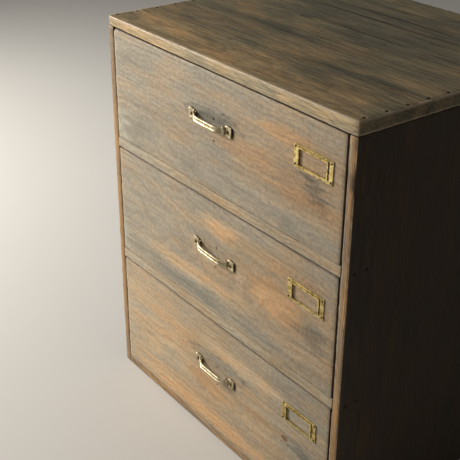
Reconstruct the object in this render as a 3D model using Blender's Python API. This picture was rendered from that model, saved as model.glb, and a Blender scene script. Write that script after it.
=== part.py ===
"""A wooden cabinet with three deep drawers, brass bow pulls and brass label frames.

Metres, +Z up. The origin is the centre of the base, the drawer fronts face -Y
and +X is to the right of someone who stands in front of them.
"""

import math
from dataclasses import dataclass

import bmesh
import bpy
from mathutils import Matrix, Vector

# Case
WIDTH = 0.600
DEPTH = 0.480
TOP_THICK = 0.0210
TOP_THICK_LEFT = 0.0158
SIDE_THICK = 0.0155
BOTTOM_THICK = 0.0152
BACK_THICK = 0.009
BACK_BOARDS = ("lower", "middle", "upper")
BOARD_EDGE = 0.0009

# Rails and runners, which carry the two upper drawers
RAIL_THICK = 0.0165
RAIL_DEPTH = 0.045
TENON_LENGTH = 0.008
TENON_SHOULDER = 0.004
RUNNER_WIDTH = 0.022
STOP_SIZE = (0.050, 0.012, 0.006)

# Drawer boxes
FRONT_THICK = 0.018
BOX_THICK = 0.010
PANEL_THICK = 0.005
GROOVE_DEPTH = 0.004
PANEL_RISE = 0.010
SIDE_DROP = 0.008
REAR_ROOM = 0.012

# Room that a drawer has in its opening
LEFT_GAP = 0.0008
RIGHT_GAP = 0.0030
TOP_GAP = 0.0020
REST_GAP = 0.0004
FIT_GAP = 0.0003

# Bow pull
PULL_SCREWS = 0.0930
FOOT_LENGTH = 0.0145
FOOT_HEIGHT = 0.0170
FOOT_THICK = 0.0022
ROLL_RADIUS = 0.0030
ROLL_BITE = 0.0008
ROLL_HEIGHT = 0.0120
BOW_REACH = 0.0135
BOW_FLAT = 0.0500
BOW_CORNER = 6
BOW_HEIGHT = 0.0094
BOW_THICK = 0.0020
REED_WIDTH = 0.0029
REED_RISE = 0.0010
BOW_STEPS = 32
REED_STEPS = 4

# Screws that hold a pull, and the two holes that an older pull left
SCREW_HEAD_RADIUS = 0.0031
SCREW_HEAD_DEPTH = 0.0018
SCREW_CROWN = 0.0005
SCREW_RADIUS = 0.0015
SCREW_LENGTH = 0.0130
SLOT_WIDTH = 0.0008
SLOT_DEPTH = 0.0007
SLOT_TURN = 35
OLD_HOLE_RADIUS = 0.0013
OLD_HOLE_DEPTH = 0.0110
OLD_HOLE_SPACING = 0.0350

# Label frame and its pins
LABEL_WIDTH = 0.0780
LABEL_HEIGHT = 0.0350
LABEL_SIDE = 0.0110
LABEL_STRIP = 0.0055
LABEL_SHEET = 0.0008
LABEL_LIP = 0.0019
LIP_WIDTH = 0.0022
PIN_INSET_X = 0.0031
PIN_INSET_Z = 0.0041
PIN_HEAD_RADIUS = 0.0015
PIN_HEAD_HEIGHT = 0.0008
PIN_RADIUS = 0.0007
PIN_LENGTH = 0.0080

# Turned heads: where the middle point of a crown lies, as shares of its radius and height
CROWN_SPREAD = 0.65
CROWN_DROP = 0.27

ROUND_STEPS = 16
DRILL_START = 0.004
SAME_LEVEL = 1e-6
FRONT_Y = -DEPTH / 2
BACK_Y = DEPTH / 2


@dataclass
class Drawer:
    """One drawer's opening, and where its pull and its label frame were fixed."""

    name: str
    opening: float
    pull_shift: float
    pull_rise: float
    pull_tilt: float
    label_from_right: float
    label_drop: float
    label_tilt: float
    old_hole_shift: float
    old_hole_rise: float
    floor: float = 0.0

    @property
    def front_low(self):
        return Vector((-WIDTH / 2 + SIDE_THICK + LEFT_GAP, FRONT_Y, self.floor + REST_GAP))

    @property
    def front_size(self):
        wide = WIDTH - 2 * SIDE_THICK - LEFT_GAP - RIGHT_GAP
        return Vector((wide, FRONT_THICK, self.opening - TOP_GAP - REST_GAP))

    @property
    def pull_place(self):
        return Vector((self.pull_shift, FRONT_Y, self.floor + self.opening / 2 + self.pull_rise))

    @property
    def label_place(self):
        across = WIDTH / 2 - SIDE_THICK - self.label_from_right
        return Vector((across, FRONT_Y, self.floor + self.opening - self.label_drop))


DRAWERS = [
    Drawer("bottom", 0.2273, -0.001, 0.0152, 0.9, 0.0689, 0.0672, 0.2, 0.0045, -0.0080),
    Drawer("middle", 0.2053, -0.003, 0.0115, 2.7, 0.0665, 0.0656, 0.7, 0.0008, -0.0060),
    Drawer("top", 0.1914, -0.0105, 0.0178, 0.9, 0.0635, 0.0630, 1.6, -0.0024, -0.0092),
]


def stack_openings():
    """Gives each drawer its floor height, and returns the height of the sides."""
    height = BOTTOM_THICK
    for drawer in DRAWERS:
        drawer.floor = height
        height += drawer.opening + RAIL_THICK
    return height - RAIL_THICK


SIDE_HEIGHT = stack_openings()
TOP_SLOPE = (TOP_THICK - TOP_THICK_LEFT) / WIDTH


def clear_scene():
    for obj in list(bpy.data.objects):
        bpy.data.objects.remove(obj, do_unlink=True)


def make_material(name, color, roughness, metallic=0.0):
    material = bpy.data.materials.new(name)
    material.use_nodes = True
    shader = material.node_tree.nodes["Principled BSDF"]
    shader.inputs["Base Color"].default_value = (*color, 1.0)
    shader.inputs["Roughness"].default_value = roughness
    shader.inputs["Metallic"].default_value = metallic
    return material


def add_object(name, bm, material=None, place=(0, 0, 0), parent=None):
    """Turns a bmesh into a named object, and frees the bmesh."""
    bmesh.ops.recalc_face_normals(bm, faces=bm.faces)
    mesh = bpy.data.meshes.new(name)
    bm.to_mesh(mesh)
    bm.free()
    obj = bpy.data.objects.new(name, mesh)
    bpy.context.scene.collection.objects.link(obj)
    if material:
        mesh.materials.append(material)
    if parent:
        obj.parent = parent
        place = Vector(place) - parent.location
    obj.location = place
    return obj


def soften(obj, width=BOARD_EDGE):
    bevel = obj.modifiers.new("edge", "BEVEL")
    bevel.width = width
    bevel.segments = 2
    bevel.limit_method = "ANGLE"
    bevel.angle_limit = math.radians(40)


def round_off(obj):
    obj.data.shade_smooth()
    obj.data.set_sharp_from_angle(angle=math.radians(35))


def as_cutter(obj):
    obj.hide_render = True
    obj.display_type = "WIRE"
    return obj


def combine(obj, other, operation):
    """Cuts the other shape from the object, or joins it on."""
    as_cutter(other)
    boolean = obj.modifiers.new(other.name, "BOOLEAN")
    boolean.operation = operation
    boolean.solver = "EXACT"
    boolean.object = other


def box_mesh(size):
    bm = bmesh.new()
    bmesh.ops.create_cube(bm, size=1.0)
    bmesh.ops.scale(bm, vec=size, verts=bm.verts)
    return bm


def add_box(name, low, size, material=None, parent=None):
    """A box by its lowest corner and its size, with its origin at its middle."""
    centre = Vector(low) + Vector(size) / 2
    return add_object(name, box_mesh(size), material, centre, parent)


def add_board(name, low, size, material, parent=None):
    board = add_box(name, low, size, material, parent)
    soften(board)
    return board


def follow_top(obj, place_x, level=max):
    """Slopes an edge with the underside of the top board, which is thinner at its left end.

    The level is max to move the upper edge, or min to move the lower one. place_x is
    the object's own place across the case.
    """
    height = level(vert.co.z for vert in obj.data.vertices)
    for vert in obj.data.vertices:
        if abs(vert.co.z - height) < SAME_LEVEL:
            vert.co.z += TOP_SLOPE * (WIDTH / 2 - place_x - vert.co.x)


def extruded(outline, direction):
    """A closed outline of 3-D points, extruded along a vector."""
    bm = bmesh.new()
    face = bm.faces.new([bm.verts.new(point) for point in outline])
    moved = bmesh.ops.extrude_face_region(bm, geom=[face])["geom"]
    verts = [item for item in moved if isinstance(item, bmesh.types.BMVert)]
    bmesh.ops.translate(bm, vec=direction, verts=verts)
    return bm


def grooved_outline(width, height, floor, toward):
    """A board's section as (u, v) points, with the panel's groove in the face at u = width."""
    low = floor - FIT_GAP
    high = floor + PANEL_THICK + FIT_GAP
    points = [(0, 0), (width, 0), (width, low), (width - GROOVE_DEPTH, low)]
    points += [(width - GROOVE_DEPTH, high), (width, high), (width, height), (0, height)]
    return [(u * toward, v) for u, v in points]


def turned(profile, steps=ROUND_STEPS):
    """A (radius, depth) profile turned about Y, from the axis back to the axis."""
    bm = bmesh.new()
    verts = [bm.verts.new((radius, depth, 0)) for radius, depth in profile]
    edges = [bm.edges.new(pair) for pair in zip(verts, verts[1:])]
    bmesh.ops.spin(
        bm, geom=verts + edges, axis=(0, 1, 0), cent=(0, 0, 0), steps=steps, angle=math.tau
    )
    bmesh.ops.remove_doubles(bm, verts=bm.verts, dist=SAME_LEVEL)
    return bm


def turned_along(place, tilt, across, up=0.0):
    """A point beside a fitting's centre, on the front face and turned with the fitting."""
    turn = Matrix.Rotation(math.radians(tilt), 4, "Y")
    return Vector(place) + turn @ Vector((across, 0, up))


def drill(board, name, place, radius, depth):
    """A blind hole into the front face, which starts clear in front of it."""
    outline = [(0, -DRILL_START), (radius, -DRILL_START), (radius, depth), (0, depth)]
    hole = add_object(name, turned(outline))
    hole.location = place
    combine(board, hole, "DIFFERENCE")


# Case

def add_sides(wood):
    """The two side boards, which stand on the floor under the top board."""
    size = (SIDE_THICK, DEPTH, SIDE_HEIGHT - FIT_GAP)
    left = add_board("left_side", (-WIDTH / 2, FRONT_Y, 0), size, wood)
    right = add_board("right_side", (WIDTH / 2 - SIDE_THICK, FRONT_Y, 0), size, wood)
    for side in (left, right):
        follow_top(side, side.location.x)
    return left, right


def add_top_and_bottom(top_wood, wood):
    top_size = (WIDTH, DEPTH, TOP_THICK)
    top = add_board("top_board", (-WIDTH / 2, FRONT_Y, SIDE_HEIGHT), top_size, top_wood)
    follow_top(top, 0, min)
    inner = WIDTH - 2 * (SIDE_THICK + FIT_GAP)
    length = DEPTH - BACK_THICK - FIT_GAP
    add_board("bottom_board", (-inner / 2, FRONT_Y, 0), (inner, length, BOTTOM_THICK), wood)


def add_back(wood):
    """Boards laid across the back between the sides, one above the other."""
    inner = WIDTH - 2 * (SIDE_THICK + FIT_GAP)
    pitch = SIDE_HEIGHT / len(BACK_BOARDS)
    for row, word in enumerate(BACK_BOARDS):
        low = (-inner / 2, BACK_Y - BACK_THICK, row * pitch)
        board = add_board(f"back_board_{word}", low, (inner, BACK_THICK, pitch - FIT_GAP), wood)
    follow_top(board, 0)


def add_rail(name, front, floor, sides, wood):
    """A rail across the case, with a stub tenon at each end let into the sides."""
    shoulder = WIDTH - 2 * (SIDE_THICK + FIT_GAP)
    low = Vector((-shoulder / 2, front, floor))
    rail = add_board(name, low, (shoulder, RAIL_DEPTH, RAIL_THICK), wood)
    inset = Vector((0, TENON_SHOULDER, TENON_SHOULDER))
    size = Vector((shoulder, RAIL_DEPTH, RAIL_THICK)) - 2 * inset
    size.x += 2 * TENON_LENGTH
    tenon_low = low + inset - Vector((TENON_LENGTH, 0, 0))
    combine(rail, add_box(f"{name}_tenons", tenon_low, size), "UNION")
    room = Vector((FIT_GAP, FIT_GAP, FIT_GAP))
    for side, word in zip(sides, ("left", "right")):
        mortise = add_box(f"{name}_{word}_mortise", tenon_low - room, size + 2 * room)
        combine(side, mortise, "DIFFERENCE")


def add_runners(level, floor, wood):
    """Two strips from the front rail to the rear rail, one on each side board."""
    start = FRONT_Y + RAIL_DEPTH + FIT_GAP
    length = DEPTH - BACK_THICK - 2 * RAIL_DEPTH - 3 * FIT_GAP
    edge = WIDTH / 2 - SIDE_THICK - FIT_GAP
    size = (RUNNER_WIDTH, length, RAIL_THICK)
    add_board(f"{level}_runner_left", (-edge, start, floor), size, wood)
    add_board(f"{level}_runner_right", (edge - RUNNER_WIDTH, start, floor), size, wood)


def add_stop(drawer, wood):
    """The block behind the front that the drawer comes up against when it is shut."""
    low = (-STOP_SIZE[0] / 2, FRONT_Y + FRONT_THICK + FIT_GAP, drawer.floor + FIT_GAP)
    add_board(f"{drawer.name}_drawer_stop", low, STOP_SIZE, wood)


def add_case(woods):
    sides = add_sides(woods["case"])
    add_top_and_bottom(woods["top"], woods["case"])
    add_back(woods["inner"])
    rear = BACK_Y - BACK_THICK - FIT_GAP - RAIL_DEPTH
    for drawer, level in zip(DRAWERS[1:], ("lower", "upper")):
        floor = drawer.floor - RAIL_THICK
        add_rail(f"{level}_rail", FRONT_Y, floor, sides, woods["case"])
        add_rail(f"{level}_rear_rail", rear, floor, sides, woods["inner"])
        add_runners(level, floor, woods["inner"])
    for drawer in DRAWERS:
        add_stop(drawer, woods["inner"])


# Drawers

def add_front(drawer, holder, wood):
    """The drawer front, with the bottom panel's groove along the back of it."""
    low, size = drawer.front_low, drawer.front_size
    outline = grooved_outline(FRONT_THICK, size.z, PANEL_RISE, 1)
    bm = extruded([(0, u, v) for u, v in outline], (size.x, 0, 0))
    front = add_object(f"{drawer.name}_drawer_front", bm, wood, low, holder)
    if drawer is DRAWERS[-1]:
        follow_top(front, low.x)
    soften(front)
    return front


def add_box_sides(drawer, holder, wood):
    """The two side boards of the drawer box, grooved on their inner faces."""
    low, size = drawer.front_low, drawer.front_size
    start = low.y + FRONT_THICK + FIT_GAP
    length = BACK_Y - BACK_THICK - REAR_ROOM - start
    height = size.z - SIDE_DROP
    for word, edge, toward in (("left", low.x, 1), ("right", low.x + size.x, -1)):
        outline = grooved_outline(BOX_THICK, height, PANEL_RISE, toward)
        bm = extruded([(u, 0, v) for u, v in outline], (0, length, 0))
        place = (edge, start, low.z)
        soften(add_object(f"{drawer.name}_drawer_side_{word}", bm, wood, place, holder))


def add_panel_and_back(drawer, holder, wood):
    """The bottom panel in its grooves, and the back board that stands on it."""
    low, size = drawer.front_low, drawer.front_size
    end = BACK_Y - BACK_THICK - REAR_ROOM
    reach = GROOVE_DEPTH - FIT_GAP
    inner = size.x - 2 * BOX_THICK
    panel_low = (low.x + BOX_THICK - reach, low.y + FRONT_THICK - reach, low.z + PANEL_RISE)
    panel_size = (inner + 2 * reach, end - panel_low[1], PANEL_THICK)
    panel = add_box(f"{drawer.name}_drawer_bottom", panel_low, panel_size, wood, holder)
    soften(panel, PANEL_THICK / 10)
    back_low = (low.x + BOX_THICK + FIT_GAP, end - BOX_THICK, low.z + PANEL_RISE + PANEL_THICK + FIT_GAP)
    height = size.z - SIDE_DROP - (back_low[2] - low.z)
    back_size = (inner - 2 * FIT_GAP, BOX_THICK, height)
    add_board(f"{drawer.name}_drawer_back", back_low, back_size, wood, holder)


# Pull

def bow_half():
    """Half the length of the bow, to the middle of the roll at its end."""
    return PULL_SCREWS / 2 - FOOT_LENGTH / 2 - ROLL_RADIUS + ROLL_BITE


def bow_point(across):
    """The place of the bow's back: a flat grip, round corners and two slanting legs."""
    rise = BOW_REACH - BOW_THICK - REED_RISE - ROLL_RADIUS
    leg = (bow_half() - abs(across)) / (bow_half() - BOW_FLAT / 2)
    share = leg / (1 + leg ** BOW_CORNER) ** (1 / BOW_CORNER)
    return Vector((across, -ROLL_RADIUS - rise * share, 0))


def reeded_section():
    """The bow's section as (up, out) points: a flat back, and a reed along each edge."""
    half = BOW_HEIGHT / 2
    points = [(-half, 0), (half, 0)]
    for edge in (1, -1):
        middle = edge * (half - REED_WIDTH / 2)
        for step in range(REED_STEPS + 1):
            turn = math.pi * step / REED_STEPS
            up = middle + math.cos(turn) * REED_WIDTH / 2
            points.append((up, BOW_THICK + REED_RISE * math.sin(turn)))
    return points


def bow_mesh():
    """The section swept along the bow, square to its curve, with closed ends."""
    section = reeded_section()
    line = [bow_point(-bow_half() * math.cos(math.pi * n / BOW_STEPS)) for n in range(BOW_STEPS + 1)]
    bm = bmesh.new()
    rings = []
    for n, base in enumerate(line):
        along = (line[min(n + 1, BOW_STEPS)] - line[max(n - 1, 0)]).normalized()
        out = Vector((along.y, -along.x, 0))
        ring = [bm.verts.new(base + out * off + Vector((0, 0, up))) for up, off in section]
        rings.append(ring)
    for first, second in zip(rings, rings[1:]):
        for n in range(len(section)):
            m = (n + 1) % len(section)
            bm.faces.new((first[n], first[m], second[m], second[n]))
    bm.faces.new(rings[0])
    bm.faces.new(rings[-1])
    return bm


def add_pull(drawer, holder, brass):
    """A cast pull: two screwed feet, a roll at the inner end of each, and the bow."""
    name = f"{drawer.name}_pull"
    place = drawer.pull_place
    turn = (0, math.radians(drawer.pull_tilt), 0)
    pull = add_object(name, bow_mesh(), brass, place, holder)
    pull.rotation_euler = turn
    for end, word in ((-1, "left"), (1, "right")):
        screw_at = turned_along(place, drawer.pull_tilt, end * PULL_SCREWS / 2)
        foot = add_object(f"{name}_{word}_foot", box_mesh((FOOT_LENGTH, FOOT_THICK, FOOT_HEIGHT)))
        foot.location = screw_at - Vector((0, FOOT_THICK / 2 + FIT_GAP, 0))
        foot.rotation_euler = turn
        soften(foot, FOOT_THICK / 4)
        combine(pull, foot, "UNION")
        roll_bm = bmesh.new()
        bmesh.ops.create_cone(
            roll_bm, cap_ends=True, segments=ROUND_STEPS,
            radius1=ROLL_RADIUS, radius2=ROLL_RADIUS, depth=ROLL_HEIGHT,
        )
        roll = add_object(f"{name}_{word}_roll", roll_bm)
        roll.location = turned_along(place, drawer.pull_tilt, end * bow_half())
        roll.location.y -= ROLL_RADIUS + FIT_GAP
        roll.rotation_euler = turn
        combine(pull, roll, "UNION")
        sink = add_object(f"{name}_{word}_sink", turned(screw_seat_profile()))
        sink.location = screw_at
        combine(pull, sink, "DIFFERENCE")
    round_off(pull)


# Screws and pins

def screw_profile():
    """A countersunk screw's half section, from the crown of its head to its point."""
    face = -FOOT_THICK - FIT_GAP - SCREW_CROWN
    head = SCREW_HEAD_RADIUS
    tip = SCREW_LENGTH - FOOT_THICK
    return [
        (0, face), (head * CROWN_SPREAD, face + SCREW_CROWN * CROWN_DROP), (head, face + SCREW_CROWN),
        (SCREW_RADIUS, face + SCREW_CROWN + SCREW_HEAD_DEPTH),
        (SCREW_RADIUS, tip - 2 * SCREW_RADIUS), (0, tip),
    ]


def screw_seat_profile():
    """The countersunk hole through a foot, a little wider than the screw."""
    face = -FOOT_THICK - FIT_GAP
    wide = SCREW_HEAD_RADIUS + FIT_GAP
    hole = SCREW_RADIUS + FIT_GAP
    return [
        (0, face - SCREW_CROWN), (wide, face - SCREW_CROWN), (wide, face),
        (hole, face + SCREW_HEAD_DEPTH), (hole, FOOT_THICK), (0, FOOT_THICK),
    ]


def pin_profile():
    """A round-headed pin's half section, from the crown of its head to its point."""
    face = -LABEL_SHEET - 2 * FIT_GAP
    crown = face - PIN_HEAD_HEIGHT
    return [
        (0, crown), (PIN_HEAD_RADIUS * CROWN_SPREAD, crown + PIN_HEAD_HEIGHT * CROWN_DROP),
        (PIN_HEAD_RADIUS, face), (PIN_RADIUS, face),
        (PIN_RADIUS, PIN_LENGTH - 2 * PIN_RADIUS), (0, PIN_LENGTH),
    ]


def add_pull_screws(drawer, front, holder, brass):
    hole = SCREW_RADIUS + FIT_GAP
    for end, word in ((-1, "left"), (1, "right")):
        name = f"{drawer.name}_pull_screw_{word}"
        place = turned_along(drawer.pull_place, drawer.pull_tilt, end * PULL_SCREWS / 2)
        screw = add_object(name, turned(screw_profile()), brass, place, holder)
        slot_size = (3 * SCREW_HEAD_RADIUS, 2 * SLOT_DEPTH, SLOT_WIDTH)
        slot = add_object(f"{name}_slot", box_mesh(slot_size))
        slot.location = place - Vector((0, FOOT_THICK + FIT_GAP + SCREW_CROWN, 0))
        slot.rotation_euler = (0, math.radians(SLOT_TURN * end), 0)
        combine(screw, slot, "DIFFERENCE")
        round_off(screw)
        drill(front, f"{name}_hole", place, hole, SCREW_LENGTH)


def drill_old_holes(drawer, front):
    """The pair of holes, one above the other, where an older pull was fixed."""
    for step, word in ((0.5, "upper"), (-0.5, "lower")):
        place = drawer.pull_place.copy()
        place.x = drawer.old_hole_shift
        place.z += drawer.old_hole_rise + step * OLD_HOLE_SPACING
        drill(front, f"{drawer.name}_old_hole_{word}", place, OLD_HOLE_RADIUS, OLD_HOLE_DEPTH)


# Label frame

def label_ring(bm, toward_window, lip, height):
    """Four corners of the frame's section line, at a share of the strips' widths."""
    across = LABEL_WIDTH / 2 - toward_window * LABEL_SIDE + lip
    up = LABEL_HEIGHT / 2 - toward_window * LABEL_STRIP + lip
    corners = ((-across, -up), (across, -up), (across, up), (-across, up))
    return [bm.verts.new((x, -height, z)) for x, z in corners]


def label_mesh():
    """A flat sheet frame with a raised lip round its window."""
    low = FIT_GAP
    sheet = low + LABEL_SHEET
    raised = low + LABEL_LIP
    section = ((0, 0, low), (0, 0, sheet), (1, LIP_WIDTH, sheet), (1, LIP_WIDTH, raised),
               (1, 0, raised), (1, 0, low))
    bm = bmesh.new()
    rings = [label_ring(bm, *point) for point in section]
    for first, second in zip(rings, rings[1:] + rings[:1]):
        for n in range(4):
            m = (n + 1) % 4
            bm.faces.new((first[n], first[m], second[m], second[n]))
    return bm


def add_label(drawer, front, holder, brass):
    """The label frame, its four pins and the pins' holes."""
    name = f"{drawer.name}_label_frame"
    place, tilt = drawer.label_place, drawer.label_tilt
    frame = add_object(name, label_mesh(), brass, place, holder)
    frame.rotation_euler = (0, math.radians(tilt), 0)
    hole = PIN_RADIUS + FIT_GAP
    across = LABEL_WIDTH / 2 - PIN_INSET_X
    up = LABEL_HEIGHT / 2 - PIN_INSET_Z
    for row, high in ((1, "upper"), (-1, "lower")):
        for side, wide in ((-1, "left"), (1, "right")):
            pin_name = f"{drawer.name}_label_pin_{high}_{wide}"
            at = turned_along(place, tilt, side * across, row * up)
            pin = add_object(pin_name, turned(pin_profile(), 12), brass, at, holder)
            round_off(pin)
            drill(frame, f"{pin_name}_frame_hole", at, hole, PIN_LENGTH)
            drill(front, f"{pin_name}_hole", at, hole, PIN_LENGTH + FIT_GAP)


def add_drawer(drawer, woods, brasses):
    """One drawer, all of it parented to an empty on its slide."""
    holder = bpy.data.objects.new(f"{drawer.name}_drawer_slide", None)
    holder.location = (0, FRONT_Y, drawer.floor)
    bpy.context.scene.collection.objects.link(holder)
    front = add_front(drawer, holder, woods["front"])
    add_box_sides(drawer, holder, woods["inner"])
    add_panel_and_back(drawer, holder, woods["inner"])
    add_pull(drawer, holder, brasses["pull"])
    add_pull_screws(drawer, front, holder, brasses["screw"])
    drill_old_holes(drawer, front)
    add_label(drawer, front, holder, brasses["label"])


def main():
    clear_scene()
    woods = {
        "top": make_material("top_wood", (0.16, 0.11, 0.07), 0.7),
        "case": make_material("case_wood", (0.30, 0.18, 0.09), 0.75),
        "front": make_material("front_wood", (0.38, 0.29, 0.20), 0.7),
        "inner": make_material("inner_wood", (0.45, 0.30, 0.17), 0.8),
    }
    brasses = {
        "pull": make_material("pull_brass", (0.72, 0.55, 0.28), 0.3, 1.0),
        "screw": make_material("screw_brass", (0.50, 0.38, 0.20), 0.4, 1.0),
        "label": make_material("label_brass", (0.60, 0.45, 0.18), 0.4, 1.0),
    }
    add_case(woods)
    for drawer in DRAWERS:
        add_drawer(drawer, woods, brasses)


main()
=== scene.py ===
"""An old three-drawer wooden file cabinet with brass pulls and brass label frames.

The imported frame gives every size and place. Metres, +Z up; the drawer fronts face -Y.
"""

import logging
import math
from contextlib import contextmanager
from dataclasses import dataclass, field
from enum import Enum
from typing import Callable, Iterator, Optional, Sequence

import bmesh
import bpy
from mathutils import Matrix, Vector


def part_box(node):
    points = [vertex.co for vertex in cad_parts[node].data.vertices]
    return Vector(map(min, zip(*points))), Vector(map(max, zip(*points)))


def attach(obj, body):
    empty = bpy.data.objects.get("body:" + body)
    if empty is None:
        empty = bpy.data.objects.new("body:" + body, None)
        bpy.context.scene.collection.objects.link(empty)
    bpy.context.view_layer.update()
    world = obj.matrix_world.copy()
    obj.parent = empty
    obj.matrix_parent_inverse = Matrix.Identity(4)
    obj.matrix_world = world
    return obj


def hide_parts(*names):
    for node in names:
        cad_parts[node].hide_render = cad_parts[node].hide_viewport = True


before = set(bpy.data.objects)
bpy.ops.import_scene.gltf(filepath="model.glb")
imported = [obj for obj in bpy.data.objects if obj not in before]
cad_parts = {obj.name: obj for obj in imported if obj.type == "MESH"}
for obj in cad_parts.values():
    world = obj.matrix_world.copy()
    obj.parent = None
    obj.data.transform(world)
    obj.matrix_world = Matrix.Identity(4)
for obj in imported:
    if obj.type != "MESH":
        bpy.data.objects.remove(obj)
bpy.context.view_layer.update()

log = logging.getLogger("cabinet")

Color = tuple[float, float, float]
Triple = tuple[float, float, float]
Test = Callable[[Vector, Vector], bool]

HAIR = 1e-5
WEAR_TEXTURE_DEPTH = 3


class Grain(Enum):
    """The direction of a board's fibres."""

    ALONG_X = 0
    ALONG_Y = 1
    ALONG_Z = 2


class End(Enum):
    """The left or the right end of a piece that lies across the case."""

    LEFT = -1
    RIGHT = 1


def tone(red: int, green: int, blue: int) -> Color:
    """Turns a display colour of 0 to 255 into the linear values that a shader takes.

    Args:
        red: The red part.
        green: The green part.
        blue: The blue part.

    Returns:
        The linear colour.
    """
    parts = (red / 255, green / 255, blue / 255)
    return tuple(p / 12.92 if p <= 0.04045 else ((p + 0.055) / 1.055) ** 2.4 for p in parts)


# Modelling


class Blank:
    """A piece on the bench, shaped with Blender's own tools."""

    def __init__(self, obj: bpy.types.Object) -> None:
        """Takes an object over.

        Args:
            obj: The object to shape.
        """
        self.obj = obj

    @staticmethod
    def fresh(name: str) -> "Blank":
        """Names the primitive that was just added, and applies its size and place.

        Args:
            name: The piece's name.

        Returns:
            The piece.
        """
        obj = bpy.context.view_layer.objects.active
        obj.name = name
        obj.data.name = name
        bpy.ops.object.transform_apply(location=True, rotation=True, scale=True)
        return Blank(obj)

    @classmethod
    def block(cls, name: str, low: Vector, high: Vector) -> "Blank":
        """Adds a block between two corners.

        Args:
            name: The piece's name.
            low: The lowest corner.
            high: The highest corner.

        Returns:
            The piece.
        """
        clear_selection()
        low, high = Vector(low), Vector(high)
        bpy.ops.mesh.primitive_cube_add(size=1.0, location=(low + high) / 2)
        bpy.context.object.scale = high - low
        return cls.fresh(name)

    @classmethod
    def rod(cls, name: str, foot: Vector, length: float, radius: float, sides: int = 24,
            turn: Triple = (0.0, 0.0, 0.0)) -> "Blank":
        """Adds a round rod.

        Args:
            name: The piece's name.
            foot: The middle of the rod.
            length: Its length.
            radius: Its radius.
            sides: How many sides it has.
            turn: Its rotation, from standing upright.

        Returns:
            The piece.
        """
        clear_selection()
        bpy.ops.mesh.primitive_cylinder_add(
            vertices=sides, radius=radius, depth=length, location=foot, rotation=turn)
        return cls.fresh(name)

    @classmethod
    def sheet(cls, name: str, wide: float, high: float) -> "Blank":
        """Adds a flat sheet that stands in the XZ plane and faces -Y.

        Args:
            name: The piece's name.
            wide: Its size along X.
            high: Its size along Z.

        Returns:
            The piece.
        """
        clear_selection()
        bpy.ops.mesh.primitive_plane_add(size=1.0, rotation=(math.pi / 2, 0, 0))
        bpy.context.object.scale = (wide, high, 1.0)
        return cls.fresh(name)

    @contextmanager
    def editing(self) -> Iterator[None]:
        """Opens the mesh in edit mode with nothing selected."""
        self.activate()
        bpy.ops.object.mode_set(mode="EDIT")
        bpy.ops.mesh.select_mode(type="VERT")
        bpy.ops.mesh.select_all(action="DESELECT")
        yield
        bpy.ops.object.mode_set(mode="OBJECT")

    def activate(self) -> None:
        """Selects this piece alone."""
        clear_selection()
        self.obj.select_set(True)
        bpy.context.view_layer.objects.active = self.obj

    def pick_faces(self, test: Test) -> None:
        """Selects the faces that pass, in edit mode.

        Args:
            test: Says yes or no from a face's middle and its normal.
        """
        bpy.ops.mesh.select_mode(type="FACE")
        bm = bmesh.from_edit_mesh(self.obj.data)
        for face in bm.faces:
            face.select_set(test(face.calc_center_median(), face.normal))
        bmesh.update_edit_mesh(self.obj.data)

    def pick_edges(self, test: Test) -> None:
        """Selects the edges that pass, in edit mode.

        Args:
            test: Says yes or no from an edge's two ends.
        """
        bpy.ops.mesh.select_mode(type="EDGE")
        bm = bmesh.from_edit_mesh(self.obj.data)
        bm.select_mode = {"EDGE"}
        for edge in bm.edges:
            edge.select_set(test(edge.verts[0].co, edge.verts[1].co))
        bm.select_flush_mode()
        bmesh.update_edit_mesh(self.obj.data)

    def pick_points(self, test: Callable[[Vector], bool]) -> None:
        """Selects the vertices that pass, in edit mode.

        Args:
            test: Says yes or no from a vertex's place.
        """
        bpy.ops.mesh.select_mode(type="VERT")
        bm = bmesh.from_edit_mesh(self.obj.data)
        bm.select_mode = {"VERT"}
        for vert in bm.verts:
            vert.select_set(test(vert.co))
        bm.select_flush_mode()
        bmesh.update_edit_mesh(self.obj.data)

    def split(self, axis: int, cuts: int) -> None:
        """Cuts the edges that run along an axis into equal parts.

        Args:
            axis: 0, 1 or 2.
            cuts: The number of cuts.
        """
        if cuts < 1:
            return
        others = [n for n in range(3) if n != axis]

        def along(first: Vector, second: Vector) -> bool:
            """Tells whether an edge runs mostly along the axis.

            Args:
                first: One end.
                second: The other end.

            Returns:
                True if it does.
            """
            step = second - first
            return all(abs(step[n]) < abs(step[axis]) for n in others)

        with self.editing():
            self.pick_edges(along)
            bpy.ops.mesh.subdivide(number_cuts=cuts)

    def slice_at(self, axis: int, places: Sequence[float]) -> None:
        """Cuts the whole mesh across an axis, at each place.

        Args:
            axis: 0, 1 or 2.
            places: Where the cuts lie along the axis.
        """
        normal = [0.0, 0.0, 0.0]
        normal[axis] = 1.0
        for place in places:
            point = [0.0, 0.0, 0.0]
            point[axis] = place
            with self.editing():
                bpy.ops.mesh.select_all(action="SELECT")
                bpy.ops.mesh.bisect(plane_co=point, plane_no=normal)

    def shift(self, test: Callable[[Vector], bool], step: Triple, reach: float = 0.0) -> None:
        """Moves the vertices that pass.

        Args:
            test: Says yes or no from a vertex's place.
            step: How far they move.
            reach: How far away their neighbours still follow a little.
        """
        with self.editing():
            self.pick_points(test)
            if reach:
                bpy.ops.transform.translate(value=step, use_proportional_edit=True,
                                            proportional_edit_falloff="SMOOTH", proportional_size=reach)
            else:
                bpy.ops.transform.translate(value=step)

    def apply(self, kind: str, **settings: object) -> None:
        """Adds a modifier with these settings and applies it.

        Args:
            kind: The modifier's type.
            **settings: Its properties.
        """
        self.activate()
        modifier = self.obj.modifiers.new(kind.lower(), kind)
        for name, value in settings.items():
            setattr(modifier, name, value)
        bpy.ops.object.modifier_apply(modifier=modifier.name)

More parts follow.
